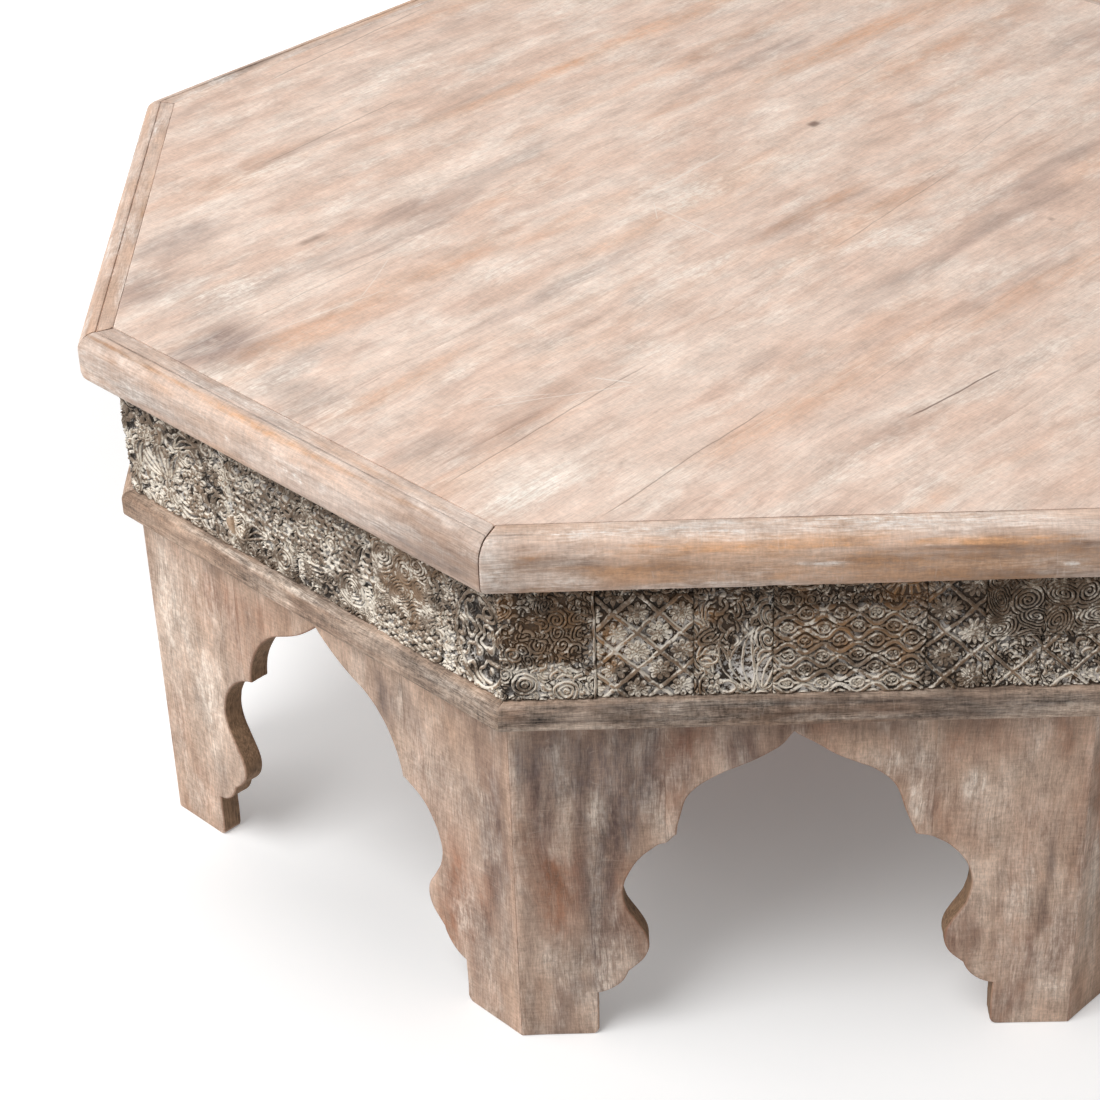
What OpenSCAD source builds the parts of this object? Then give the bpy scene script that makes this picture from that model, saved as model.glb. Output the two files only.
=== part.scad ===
// Octagonal coffee table. Eight leg panels with cut arches are mitred at the corners.
// A waist rail lies on them, then apron boards faced with carved blocks, and on top
// a field of glued planks in a rounded edge lipping.
// The origin is on the floor under the middle of the top. +Z is up. Side 1 faces -Y,
// and the sides are numbered anticlockwise as seen from above.

/* [Overall] */
// Width of the top across two opposite sides
top_flats = 1006; // [920:1:1160]
// Height of the top's upper face above the floor
height = 440; // [420:1:520]

/* [Top] */
// Depth of the edge lipping
lipping_depth = 40; // [34:1:50]
// Width of the lipping as seen from above
lipping_w = 26.5; // [23:0.5:40]
// Radius of the lipping's upper outer edge
nose_top_r = 13; // [6:0.5:18]
// Radius of the lipping's lower outer edge
nose_bottom_r = 9; // [3:0.5:14]
// Thickness of the planks
plank_t = 25; // [18:1:28]
// Width of the ledge in the lipping that carries the ends and edges of the planks
ledge_w = 24.5; // [21:0.5:34]

/* [Frieze] */
// Height of the frieze between the waist rail and the lipping
frieze_h = 97; // [80:1:110]
// Reach of the lipping past the carved blocks
lipping_reach = 22.5; // [16:0.5:26]
// Thickness of the carved blocks
block_t = 10; // [7:0.5:12]
// Steps by which single blocks stand back from the carved face
block_step = 0.6; // [0:0.1:1.5]
// Open joint between two carved blocks
block_gap = 0.4; // [0.2:0.1:1]
// Thickness of the apron boards behind the blocks
apron_t = 14; // [12:0.5:20]
// Depth of the tongues along the top of the panels and the bottom of the apron
tongue_h = 5; // [3:0.5:6]
// Thickness of those tongues
tongue_t = 6; // [4:0.5:8]
// Clearance of a tongue in its groove, on each side
tongue_gap = 0.15; // [0.1:0.05:0.3]

/* [Waist rail] */
// Depth of the rail, top to bottom
rail_depth = 21; // [18:0.5:28]
// Reach of the rail past the carved blocks
rail_reach = 7; // [4:0.5:12]
// Radius of the rail's upper outer edge
rail_top_r = 7; // [3:0.5:9]
// Radius of the rail's lower outer edge
rail_bottom_r = 3; // [1:0.5:5]

/* [Leg panels] */
// Thickness of the leg panels
panel_t = 18; // [16:0.5:24]
// Width of each leg board at the corner, up to the glued joint
leg_board_w = 105.5; // [98:0.5:107]
// Thickness of the glue between two boards of a panel
glue_line = 0.1; // [0.05:0.05:0.3]
// Width of a foot, measured from the corner
foot_w = 56.5; // [45:0.5:62]
// Height of the foot's straight inner edge
foot_h = 38.5; // [30:0.5:44]
// Wood left between the tip of the arch and the waist rail
arch_head = 15; // [10:0.5:24]
// Half width of the arch where its curve turns
turn_x = 47; // [40:0.5:54]
// Height of the arch tip above that turn
turn_drop = 31; // [24:0.5:36]
// Place of the upper cusp, in from the corner
cusp_in = 113; // [110:0.5:118]
// Height of the upper cusp
cusp_z = 177; // [170:0.5:184]
// Place of the deepest part of the side lobe, in from the corner
lobe_in = 75.5; // [66:0.5:82]
// Height of the deepest part of the side lobe
lobe_z = 133; // [126:0.5:138]
// Place of the knob's two ends, in from the corner
knob_in = 88; // [84:0.5:94]
// Height of the knob's lower end
knob_z = 66; // [64:0.5:70]
// Height of the knob between its ends
knob_h = 28.5; // [24:0.5:30]
// Place of the notch under the knob, in from the corner
notch_in = 78; // [74:0.5:81]
// Height of the notch
notch_z = 58.5; // [54:0.5:61]

/* [Inside] */
// Length of a corner block along each panel
corner_block_w = 40; // [28:1:46]
// Thickness of a corner block, square to the panel
corner_block_t = 12; // [8:0.5:18]
// Height of the corner blocks' lower ends
corner_block_z = 185; // [150:1:230]
// Width of the battens under the top
batten_w = 50; // [36:1:60]
// Thickness of the battens
batten_t = 20; // [16:0.5:24]
// Distance between the battens, middle to middle
batten_pitch = 260; // [250:1:275]
// Clearance between a batten's end and the ledge
batten_gap = 0.5; // [0.3:0.1:1]
// Diameter of a batten screw's shank
screw_d = 4.2; // [3.5:0.1:5]
// Diameter of a batten screw's head
screw_head_d = 8.4; // [7:0.1:9.5]
// Length of a batten screw
screw_len = 34; // [30:0.5:36]
// Clearance round the shank in the batten
screw_gap = 0.4; // [0.2:0.1:0.6]
// Clearance round the thread in the plank
thread_gap = 0.05; // [0.05:0.01:0.1]

/* [Hidden] */
SIDES = 8;
HALF = 180 / SIDES;
PLANKS = 8;
PLANK_TURN = 45;
EPS = 0.01;
ARC_STEPS = 10;
ROUND_STEPS = 6;

// Levels, from the floor up
lipping_z = height - lipping_depth;
plank_z = height - plank_t;
rail_top_z = lipping_z - frieze_h;
panel_top_z = rail_top_z - rail_depth;

// Distances from the table's axis to the middle of a side
lipping_out = top_flats / 2;
field_out = lipping_out - lipping_w;
ledge_in = field_out - ledge_w;
block_out = lipping_out - lipping_reach;
apron_out = block_out - block_t;
inner_out = apron_out - apron_t;
panel_out = inner_out + panel_t;
rail_out = block_out + rail_reach;
panel_tongue_out = (inner_out + panel_out) / 2;
apron_tongue_out = (inner_out + apron_out) / 2;

// Half the length of a side at a given distance from the axis
function half_side(out) = out * tan(HALF);

panel_half = half_side(panel_out);
plank_pitch = 2 * field_out / PLANKS;

// Points on the arc from p up to q, without q itself. rise is the arc's height over
// half its chord, positive to the left of the way from p to q.
function arc(p, q, rise, n = ARC_STEPS) =
    let (
        chord = q - p,
        along = chord / norm(chord),
        left = [-along.y, along.x],
        half = 2 * atan(abs(rise)),
        r = norm(chord) / (2 * sin(half)),
        side = rise > 0 ? 1 : -1
    )
    [for (i = [0:n - 1])
        let (a = half * (2 * i / n - 1))
        (p + q) / 2 + along * r * sin(a) + left * side * r * (cos(a) - cos(half))];

// A rounded outer corner of radius r at c, between the directions a and b away from it
function rounded(c, a, b, r, n = ROUND_STEPS) =
    [for (i = [0:n])
        let (t = 90 * i / n)
        c + r * (1 - sin(t)) * a + r * (1 - cos(t)) * b];

// Step from the deepest part of the side lobe to its lower end, and the knob's lean
lobe_tail = [-4.5, -20.5];
knob_lean = 2;

// Places along the arch, as distances from the side's middle and heights
arch_tip = [0, panel_top_z - arch_head];
arch_turn = [turn_x, arch_tip.y - turn_drop];
arch_cusp = [panel_half - cusp_in, cusp_z];
lobe_deep = [panel_half - lobe_in, lobe_z];
lobe_end = lobe_deep + lobe_tail;
knob_top = [panel_half - knob_in - knob_lean, knob_z + knob_h];
knob_bottom = [panel_half - knob_in + knob_lean, knob_z];
notch = [panel_half - notch_in, notch_z];
foot_top = [panel_half - foot_w, foot_h];

// How far each stretch of the arch bulges
ogee_hollow = -0.1;
ogee_swell = 0.256;
lobe_swell = 0.315;
lobe_return = 0.118;
knob_swell = -0.32;
foot_swell = -0.29;

// Right half of the arch, from the tip down to the foot
half_arch = concat(
    arc(arch_tip, arch_turn, ogee_hollow),
    arc(arch_turn, arch_cusp, ogee_swell),
    arc(arch_cusp, lobe_deep, lobe_swell),
    arc(lobe_deep, lobe_end, lobe_return, 4),
    [lobe_end],
    arc(knob_top, knob_bottom, knob_swell),
    [knob_bottom],
    arc(notch, foot_top, foot_swell),
    [foot_top]
);

// The carved blocks of a side, from its left end as seen from outside: each one's
// share of the side's length, and the share of the height that a strip above it takes.
// Sides 1 to 4 take these rows, and 5 to 8 take them again.
block_rows = [
    [[0.16, 0], [0.16, 0.17], [0.13, 0.17], [0.25, 0.28], [0.095, 0], [0.095, 0.58], [0.11, 0.58]],
    [[0.15, 0], [0.18, 0.25], [0.16, 0], [0.21, 0.3], [0.16, 0], [0.14, 0]],
    [[0.18, 0.3], [0.15, 0], [0.22, 0.22], [0.16, 0.22], [0.15, 0], [0.14, 0]],
    [[0.31, 0], [0.17, 0.27], [0.21, 0.27], [0.15, 0], [0.16, 0]]
];

// Turns a side's own frame, where it faces -Y, to side i
module at_side(i) {
    rotate([0, 0, (i - 1) * 2 * HALF])
        children();
}

// The wedge of one side, cut along the mitres
module mitre_wedge(z0, z1) {
    reach = lipping_out + 10;
    translate([0, 0, z0])
        linear_extrude(z1 - z0)
            polygon([[0, 0], [-half_side(reach), -reach], [half_side(reach), -reach]]);
}

// A bar along side 1 with the given section, mitred at both ends.
// Section points are [distance from the table's axis, height].
module mitred_bar(section, z0, z1) {
    long = 2 * half_side(lipping_out + 10);
    intersection() {
        translate([long / 2, 0, 0])
            rotate([90, 0, -90])
                linear_extrude(long)
                    polygon(section);
        mitre_wedge(z0 - 1, z1 + 1);
    }
}

// Octagonal prism with its sides at the given distance from the axis
module octagon_prism(out, z0, z1) {
    translate([0, 0, z0])
        linear_extrude(z1 - z0)
            polygon([for (i = [0:SIDES - 1])
                let (a = HALF + 2 * HALF * i)
                out / cos(HALF) * [cos(a), sin(a)]]);
}

// Places of the batten screws: along the planks, then across them
screw_places = [
    for (b = [-1:1])
        for (k = [0:PLANKS - 1])
            let (
                across = (k + 0.5) * plank_pitch - field_out,
                along = b * batten_pitch,
                diagonal = (abs(across) + abs(along)) / sqrt(2)
            )
            if (abs(across) < ledge_in - screw_head_d && diagonal < ledge_in - screw_head_d)
                [along, across]
];

module at_screws() {
    rotate([0, 0, PLANK_TURN])
        for (p = screw_places)
            translate([p.x, p.y, plank_z - batten_t])
                children();
}

// A countersunk screw from its head up, with its shank made thicker by gap
module screw_body(gap, reach) {
    head_h = (screw_head_d - screw_d) / 2;
    rotate_extrude($fn = 32)
        polygon([
            [0, 0], [screw_head_d / 2, 0], [screw_d / 2 + gap, head_h - gap],
            [screw_d / 2 + gap, reach], [0, reach]
        ]);
}

// One plank, counted from one edge of the field to the other
module top_plank(k) {
    color([0.80, 0.72, 0.63])
    difference() {
        intersection() {
            octagon_prism(field_out, plank_z, height);
            rotate([0, 0, PLANK_TURN])
                translate([-top_flats, (k - 1) * plank_pitch - field_out, plank_z])
                    cube([2 * top_flats, plank_pitch, plank_t]);
        }
        at_screws()
            cylinder(d = screw_d + 2 * thread_gap, h = screw_len + 1, $fn = 32);
    }
}

// Lipping with a rounded nose outside and a ledge for the planks inside
module edge_lipping(i) {
    section = concat(
        [[ledge_in, lipping_z], [ledge_in, plank_z], [field_out, plank_z], [field_out, height]],
        rounded([lipping_out, height], [-1, 0], [0, -1], nose_top_r),
        rounded([lipping_out, lipping_z], [0, 1], [-1, 0], nose_bottom_r)
    );
    color([0.74, 0.61, 0.49])
    at_side(i)
        mitred_bar(section, lipping_z, height);
}

// Board behind the carved blocks, with a tongue that stands in the waist rail
module apron_board(i) {
    section = [
        [inner_out, rail_top_z],
        [apron_tongue_out - tongue_t / 2, rail_top_z],
        [apron_tongue_out - tongue_t / 2, rail_top_z - tongue_h],
        [apron_tongue_out + tongue_t / 2, rail_top_z - tongue_h],
        [apron_tongue_out + tongue_t / 2, rail_top_z],
        [apron_out, rail_top_z],
        [apron_out, lipping_z],
        [inner_out, lipping_z]
    ];
    color([0.45, 0.36, 0.29])
    at_side(i)
        mitred_bar(section, rail_top_z - tongue_h, lipping_z);
}

// One carved block between x0 and x1 along the side and z0 and z1 in height, standing
// back from the carved face, with half an open joint left at each end
module carved_block(x0, x1, z0, z1, back) {
    translate([x0 + block_gap / 2, back - block_out, z0])
        cube([x1 - x0 - block_gap, block_t - back, z1 - z0]);
}

// Share of a side's length that the blocks before number k take
function share_before(row, k) = k == 0 ? 0 : row[k - 1][0] + share_before(row, k - 1);

// The blocks of one side, mitred at the corners
module carved_blocks(i) {
    row = block_rows[(i - 1) % len(block_rows)];
    full = half_side(block_out);
    ends = [for (k = [0:len(row)]) full * (2 * share_before(row, k) - 1)];
    color([0.33, 0.28, 0.24])
    at_side(i)
        intersection() {
            for (k = [0:len(row) - 1]) {
                strip_z = lipping_z - row[k][1] * frieze_h;
                has_strip = row[k][1] > 0;
                low_top = has_strip ? strip_z - block_gap : lipping_z;
                carved_block(ends[k], ends[k + 1], rail_top_z, low_top, block_step * (k % 3));
                if (has_strip)
                    carved_block(ends[k], ends[k + 1], strip_z, lipping_z, block_step * ((k + 1) % 3));
            }
            mitre_wedge(rail_top_z - 1, lipping_z + 1);
        }
}

// Rail on top of the panels, grooved below for them and above for the apron
module waist_rail(i) {
    groove_t = tongue_t + 2 * tongue_gap;
    groove_h = tongue_h + tongue_gap;
    section = concat(
        [
            [inner_out, panel_top_z],
            [inner_out, rail_top_z],
            [apron_tongue_out - groove_t / 2, rail_top_z],
            [apron_tongue_out - groove_t / 2, rail_top_z - groove_h],
            [apron_tongue_out + groove_t / 2, rail_top_z - groove_h],
            [apron_tongue_out + groove_t / 2, rail_top_z]
        ],
        rounded([rail_out, rail_top_z], [-1, 0], [0, -1], rail_top_r),
        rounded([rail_out, panel_top_z], [0, 1], [-1, 0], rail_bottom_r),
        [
            [panel_tongue_out + groove_t / 2, panel_top_z],
            [panel_tongue_out + groove_t / 2, panel_top_z + groove_h],
            [panel_tongue_out - groove_t / 2, panel_top_z + groove_h],
            [panel_tongue_out - groove_t / 2, panel_top_z]
        ]
    );
    color([0.50, 0.43, 0.37])
    at_side(i)
        mitred_bar(section, panel_top_z, rail_top_z);
}

// Outline of the arch, open at the floor
module arch_2d() {
    left_half = [for (k = [len(half_arch) - 1:-1:1]) [-half_arch[k].x, half_arch[k].y]];
    polygon(concat(
        half_arch,
        [[foot_top.x, -1], [-foot_top.x, -1]],
        left_half
    ));
}

// One upright board of a panel, from x0 to x1 along the side
module panel_board(x0, x1) {
    translate([0, -inner_out, 0])
        rotate([90, 0, 0])
            linear_extrude(panel_t)
                difference() {
                    translate([x0, 0])
                        square([x1 - x0, panel_top_z]);
                    arch_2d();
                }
    translate([x0, -panel_tongue_out - tongue_t / 2, panel_top_z - EPS])
        cube([x1 - x0, tongue_t, tongue_h + EPS]);
}

// Panel of three upright boards glued edge to edge, with the arch cut through them
module leg_panel(i) {
    joint_x = panel_half - leg_board_w;
    color([0.60, 0.50, 0.42])
    at_side(i)
        intersection() {
            union() {
                panel_board(-panel_half, -joint_x - glue_line);
                panel_board(-joint_x, joint_x);
                panel_board(joint_x + glue_line, panel_half);
            }
            mitre_wedge(-1, rail_top_z);
        }
}

// Block glued in the corner between two sides, behind panels, rail and apron
module corner_block(i) {
    corner = inner_out / cos(HALF);
    p1 = [corner, 0] + corner_block_w * [-sin(HALF), cos(HALF)];
    p2 = p1 + corner_block_t * [-cos(HALF), -sin(HALF)];
    color([0.70, 0.60, 0.48])
    rotate([0, 0, (i - 1) * 2 * HALF - 90 + HALF])
        translate([0, 0, corner_block_z])
            linear_extrude(lipping_z - corner_block_z)
                polygon([[corner, 0], p1, p2, [p2.x, -p2.y], [p1.x, -p1.y]]);
}

// Batten across the planks, drilled for its screws
module top_batten(k) {
    color([0.72, 0.61, 0.48])
    difference() {
        intersection() {
            octagon_prism(ledge_in - batten_gap, plank_z - batten_t, plank_z);
            rotate([0, 0, PLANK_TURN])
                translate([(k - 2) * batten_pitch - batten_w / 2, -top_flats, plank_z - batten_t])
                    cube([batten_w, 2 * top_flats, batten_t]);
        }
        at_screws()
            screw_body(screw_gap, batten_t + 1);
    }
}

// All the screws that hold the battens to the planks
module batten_screws() {
    color([0.62, 0.60, 0.56])
    at_screws()
        screw_body(0, screw_len);
}

top_plank(1);  // top_plank_1
top_plank(2);  // top_plank_2
top_plank(3);  // top_plank_3
top_plank(4);  // top_plank_4
top_plank(5);  // top_plank_5
top_plank(6);  // top_plank_6
top_plank(7);  // top_plank_7
top_plank(8);  // top_plank_8
edge_lipping(1);  // edge_lipping_1
edge_lipping(2);  // edge_lipping_2
edge_lipping(3);  // edge_lipping_3
edge_lipping(4);  // edge_lipping_4
edge_lipping(5);  // edge_lipping_5
edge_lipping(6);  // edge_lipping_6
edge_lipping(7);  // edge_lipping_7
edge_lipping(8);  // edge_lipping_8
apron_board(1);  // apron_board_1
apron_board(2);  // apron_board_2
apron_board(3);  // apron_board_3
apron_board(4);  // apron_board_4
apron_board(5);  // apron_board_5
apron_board(6);  // apron_board_6
apron_board(7);  // apron_board_7
apron_board(8);  // apron_board_8
carved_blocks(1);  // carved_blocks_1
carved_blocks(2);  // carved_blocks_2
carved_blocks(3);  // carved_blocks_3
carved_blocks(4);  // carved_blocks_4
carved_blocks(5);  // carved_blocks_5
carved_blocks(6);  // carved_blocks_6
carved_blocks(7);  // carved_blocks_7
carved_blocks(8);  // carved_blocks_8
waist_rail(1);  // waist_rail_1
waist_rail(2);  // waist_rail_2
waist_rail(3);  // waist_rail_3
waist_rail(4);  // waist_rail_4
waist_rail(5);  // waist_rail_5
waist_rail(6);  // waist_rail_6
waist_rail(7);  // waist_rail_7
waist_rail(8);  // waist_rail_8
leg_panel(1);  // leg_panel_1
leg_panel(2);  // leg_panel_2
leg_panel(3);  // leg_panel_3
leg_panel(4);  // leg_panel_4
leg_panel(5);  // leg_panel_5
leg_panel(6);  // leg_panel_6
leg_panel(7);  // leg_panel_7
leg_panel(8);  // leg_panel_8
corner_block(1);  // corner_block_1
corner_block(2);  // corner_block_2
corner_block(3);  // corner_block_3
corner_block(4);  // corner_block_4
corner_block(5);  // corner_block_5
corner_block(6);  // corner_block_6
corner_block(7);  // corner_block_7
corner_block(8);  // corner_block_8
top_batten(1);  // top_batten_1
top_batten(2);  // top_batten_2
top_batten(3);  // top_batten_3
batten_screws();
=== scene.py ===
"""Looks of the octagonal coffee table: limed planks, a rounded lipping, a frieze of carved
printing blocks, a waist rail and weathered leg panels. Lengths are in metres unless a name
or comment says mm. Side 1 faces -Y, and a side's own frame has x along it, out from the
table's axis and z up."""

import math
from functools import partial

import bpy
import numpy as np
from mathutils import Matrix, Vector
from mathutils.geometry import delaunay_2d_cdt


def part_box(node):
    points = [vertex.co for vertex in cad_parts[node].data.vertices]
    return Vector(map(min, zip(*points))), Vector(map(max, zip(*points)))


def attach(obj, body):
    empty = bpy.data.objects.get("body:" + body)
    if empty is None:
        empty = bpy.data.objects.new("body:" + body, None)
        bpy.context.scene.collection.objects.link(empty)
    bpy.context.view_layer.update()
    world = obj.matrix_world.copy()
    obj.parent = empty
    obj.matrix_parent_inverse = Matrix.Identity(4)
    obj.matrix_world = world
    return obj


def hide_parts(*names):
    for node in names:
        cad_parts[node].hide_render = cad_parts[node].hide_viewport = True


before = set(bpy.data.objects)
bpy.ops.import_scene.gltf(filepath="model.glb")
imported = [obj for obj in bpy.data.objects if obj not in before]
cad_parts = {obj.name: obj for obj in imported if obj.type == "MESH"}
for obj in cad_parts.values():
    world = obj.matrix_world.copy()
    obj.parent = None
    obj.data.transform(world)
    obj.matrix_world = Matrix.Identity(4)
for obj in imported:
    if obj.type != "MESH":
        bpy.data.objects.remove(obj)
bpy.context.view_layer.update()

MM = 0.001
SIDES = 8
SIDE_TURN = 2 * math.pi / SIDES
MITRE = math.tan(SIDE_TURN / 2)
PLANKS = 8
BATTENS = 3
PLANK_TURN = math.radians(45)
# Points nearer than this lie at one place
SAME_PLACE = 0.01 * MM
# The play between mitred ends, and how near an edge counts as on it
PLAY = 0.05 * MM


def reach(node):
    """How far a side 1 node's outer and inner faces are from the axis, and its two levels."""
    low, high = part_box(node)
    return -low.y, -high.y, low.z, high.z


LIP_OUT, LEDGE_IN, LIP_LOW, TOP = reach("edge_lipping_1")
BLOCK_OUT, BLOCK_IN = reach("carved_blocks_1")[:2]
RAIL_OUT, RAIL_IN, RAIL_LOW, RAIL_HIGH = reach("waist_rail_1")
PANEL_OUT, PANEL_IN, FLOOR, TONGUE_HIGH = reach("leg_panel_1")
PLANK_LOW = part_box("top_plank_1")[0].z
FIELD_OUT = -min(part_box(f"top_plank_{k}")[0].y for k in range(1, PLANKS + 1))
PLANK_WIDE = 2 * FIELD_OUT / PLANKS

# The camera, as found from the photograph, on a sensor 36 mm wide
CAMERA_AT = Vector((-0.1371, -1.9352, 1.3710))
CAMERA_FORWARD = Vector((-0.0149, 0.8375, -0.5463))
CAMERA_RIGHT = Vector((0.9995, -0.0030, -0.0318))
CAMERA_LENS = 89.42


# Numbers that vary smoothly

HASH_FACTORS = (374761393, 668265263, 974634777, 1274126177)
HASH_MOST = 0xFFFFF


def hashed(i, j, seed):
    """Even random numbers from 0 to 1 at whole-number places."""
    by_i, by_j, by_seed, again = HASH_FACTORS
    n = i.astype(np.int64) * by_i + j.astype(np.int64) * by_j + seed * by_seed
    n = (n ^ (n >> 13)) * again
    return ((n ^ (n >> 16)) & HASH_MOST) / HASH_MOST


def noise(x, y, seed):
    """Smooth noise from 0 to 1, with features about one unit wide."""
    x, y = np.broadcast_arrays(np.asarray(x, float), np.asarray(y, float))
    i, j = np.floor(x), np.floor(y)
    u, v = x - i, y - j
    u, v = u * u * (3 - 2 * u), v * v * (3 - 2 * v)
    low = hashed(i, j, seed) * (1 - u) + hashed(i + 1, j, seed) * u
    high = hashed(i, j + 1, seed) * (1 - u) + hashed(i + 1, j + 1, seed) * u
    return low * (1 - v) + high * v


def fractal(x, y, seed, octaves=4):
    """Noise from 0 to 1 with finer noise on it."""
    total = sum(noise(x * 2 ** k, y * 2 ** k, seed + 17 * k) / 2 ** k for k in range(octaves))
    return total / (2 - 2 ** (1 - octaves))


def smooth(value, low, high):
    """0 below low, 1 above high and an even curve between them."""
    t = np.clip((value - low) / (high - low), 0, 1)
    return t * t * (3 - 2 * t)


def patches(x, y, seed, low, high):
    """Soft patches, 1 where noise is above high and 0 where it is below low."""
    return smooth(fractal(x, y, seed), low, high)


# Marks: shares of stained, warm and rubbed wood, or of the three tones of carving

def free_marks(a, b, side, seed, table):
    """Shares in free patches. Each kind has its patches' size along and across, their shift
    from side to side, the noise where they begin and are full, and their share."""
    return np.stack([share * patches(a / long + shift * side, b / wide, seed + n, low, high)
                     for n, (long, wide, shift, low, high, share) in enumerate(table)], -1)


def with_marks(marks, table, a, b, broken, none, full):
    """The shares in marks with those of a table's marks added. Each mark has its place and
    half sizes in mm and its shares, without the last ones where they are 0. It ends at none
    times its size, moved in and out by broken, and is whole inside full times its size."""
    for at_a, at_b, half_a, half_b, *shares in table:
        far = np.hypot((a - at_a * MM) / (half_a * MM), (b - at_b * MM) / (half_b * MM))
        mark = smooth(far + broken, none, full)
        for kind, share in enumerate(shares):
            marks[..., kind] += share * mark
    return np.clip(marks, 0, 1)


# Making pieces

def to_side(side, x, out, z):
    """Points of a side's own frame in the table's frame."""
    turn = SIDE_TURN * (side - 1)
    return np.stack([x * math.cos(turn) + out * math.sin(turn),
                     x * math.sin(turn) - out * math.cos(turn), z + 0 * x], -1)


def add_attribute(mesh, name, values):
    """Stores a number or a vector for each point of a mesh."""
    values = np.asarray(values, np.float32)
    kind, field = ("FLOAT_VECTOR", "vector") if values.ndim == 2 else ("FLOAT", "value")
    mesh.attributes.new(name, kind, "POINT").data.foreach_set(field, values.ravel())


def make_piece(name, points, faces, material, slot, replaced, sharp=35, **attributes):
    """A mesh that rides on the table in place of a node of the frame."""
    mesh = bpy.data.meshes.new(name)
    mesh.from_pydata(np.asarray(points).tolist(), [], faces)
    for key, values in attributes.items():
        add_attribute(mesh, key, values)
    mesh.shade_smooth()
    mesh.set_sharp_from_angle(angle=math.radians(sharp))
    mesh.materials.append(material)
    piece = bpy.data.objects.new(name, mesh)
    bpy.context.scene.collection.objects.link(piece)
    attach(piece, "root")
    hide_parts(replaced)


def grid_faces(rows, columns, closed):
    """Quads of a grid of points, row after row, whose columns may close in a ring."""
    last = columns if closed else columns - 1
    j, k = np.meshgrid(np.arange(rows - 1), np.arange(last), indexing="ij")
    here, beside = j * columns + k, j * columns + (k + 1) % columns
    return np.stack([here, beside, beside + columns, here + columns], -1).reshape(-1, 4).tolist()


def turned_corner(corner, a, b, radius, steps):
    """Points round an outer corner, between the directions a and b away from it."""
    t = np.linspace(0, math.pi / 2, steps + 1)[:, None]
    bend = (1 - np.sin(t)) * np.array(a) + (1 - np.cos(t)) * np.array(b)
    return np.array(corner) + radius * bend


def spaced(points, step):
    """The closed outline with no two points further apart than step."""
    out = []
    for p, q in zip(points, np.roll(points, -1, 0)):
        count = max(1, math.ceil(np.linalg.norm(q - p) / step - 1e-6))
        out += [p + (q - p) * n / count for n in range(count)]
    return np.array(out)


def outline_normals(points):
    """Unit vectors out of a closed outline that runs clockwise."""
    along = np.roll(points, -1, 0) - np.roll(points, 1, 0)
    along /= np.linalg.norm(along, axis=1)[:, None]
    return np.stack([-along[:, 1], along[:, 0]], -1)


# Points along a bar, how far in the first one is, and how far a bar's end is rounded down
BAR_STATIONS = 210
END_STEP = 0.6 * MM
END_DROP = 0.5 * MM


def dense_ends(count, half_length):
    """Even places from -1 to 1 with an extra one a little way in from each end."""
    fine = END_STEP / half_length
    inner = np.linspace(-1 + 2 * fine, 1 - 2 * fine, count)
    return np.concatenate([[-1, -1 + fine], inner, [1 - fine, 1]])


def mitred_bar(side, section, gap, dent, seed):
    """Points of a bar along a side: [station, section point], with small waves and dents.
    Returns the points, the faces, and the plain x, out and z of each point."""
    normal = outline_normals(section)
    stations = dense_ends(BAR_STATIONS, LIP_OUT * MITRE)
    out, z = section[None, :, 0], section[None, :, 1]
    x = stations[:, None] * (out * MITRE - gap)
    place = np.cumsum(np.linalg.norm(np.diff(section, axis=0, prepend=section[:1]), axis=1))[None]
    wave = fractal(x / 0.09 + 50, place / 0.05, seed) - 0.5
    pits = patches(x / 0.011 + 90, place / 0.006, seed + 3, 0.68, 0.8)
    near_end = smooth(np.abs(stations), 1 - 2 * END_STEP / (LIP_OUT * MITRE), 1)[:, None]
    push = dent * (wave - 0.5) - 0.5 * dent * pits - near_end * END_DROP
    bar_out, bar_z = out + normal[None, :, 0] * push, z + normal[None, :, 1] * push
    points = to_side(side, x, bar_out, bar_z).reshape(-1, 3)
    rows, columns = x.shape
    faces = grid_faces(rows, columns, True)
    faces.append(list(range(columns))[::-1])
    faces.append([(rows - 1) * columns + k for k in range(columns)])
    flat = [np.broadcast_to(v, x.shape).ravel() for v in (x, out, z)]
    return points, faces, flat


def grain_of(along, across, depth, seed):
    """Grain coordinates in metres, shifted so that no two boards show the same wood."""
    shift = np.random.default_rng(seed).uniform(0, 9, 3)
    return np.stack([along + shift[0], across + shift[1], depth + shift[2]], -1)


# Materials

def paint(red, green, blue):
    """A colour of a picture, 0 to 255, as the shader wants it."""
    def linear(value):
        value /= 255
        return value / 12.92 if value <= 0.04045 else ((value + 0.055) / 1.055) ** 2.4
    return (linear(red), linear(green), linear(blue), 1)


class Wire:
    """An output of a material's node, with plain arithmetic on its values."""

    def __init__(self, graph, socket):
        self.graph = graph
        self.socket = socket

    def __add__(self, other):
        return self.graph.math("ADD", self, other)

    def __sub__(self, other):
        return self.graph.math("SUBTRACT", self, other)

    def __mul__(self, other):
        return self.graph.math("MULTIPLY", self, other)

    def off(self, middle):
        """How far the value is from a middle one."""
        return self.graph.math("ABSOLUTE", self - middle)

    def steps(self, low, high, least=0.0, most=1.0):
        """Least below low, most above high and an even curve between them."""
        inputs = {"Value": self, "From Min": low, "From Max": high, "To Min": least, "To Max": most}
        return self.graph.node("ShaderNodeMapRange", inputs, interpolation_type="SMOOTHSTEP")


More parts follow.
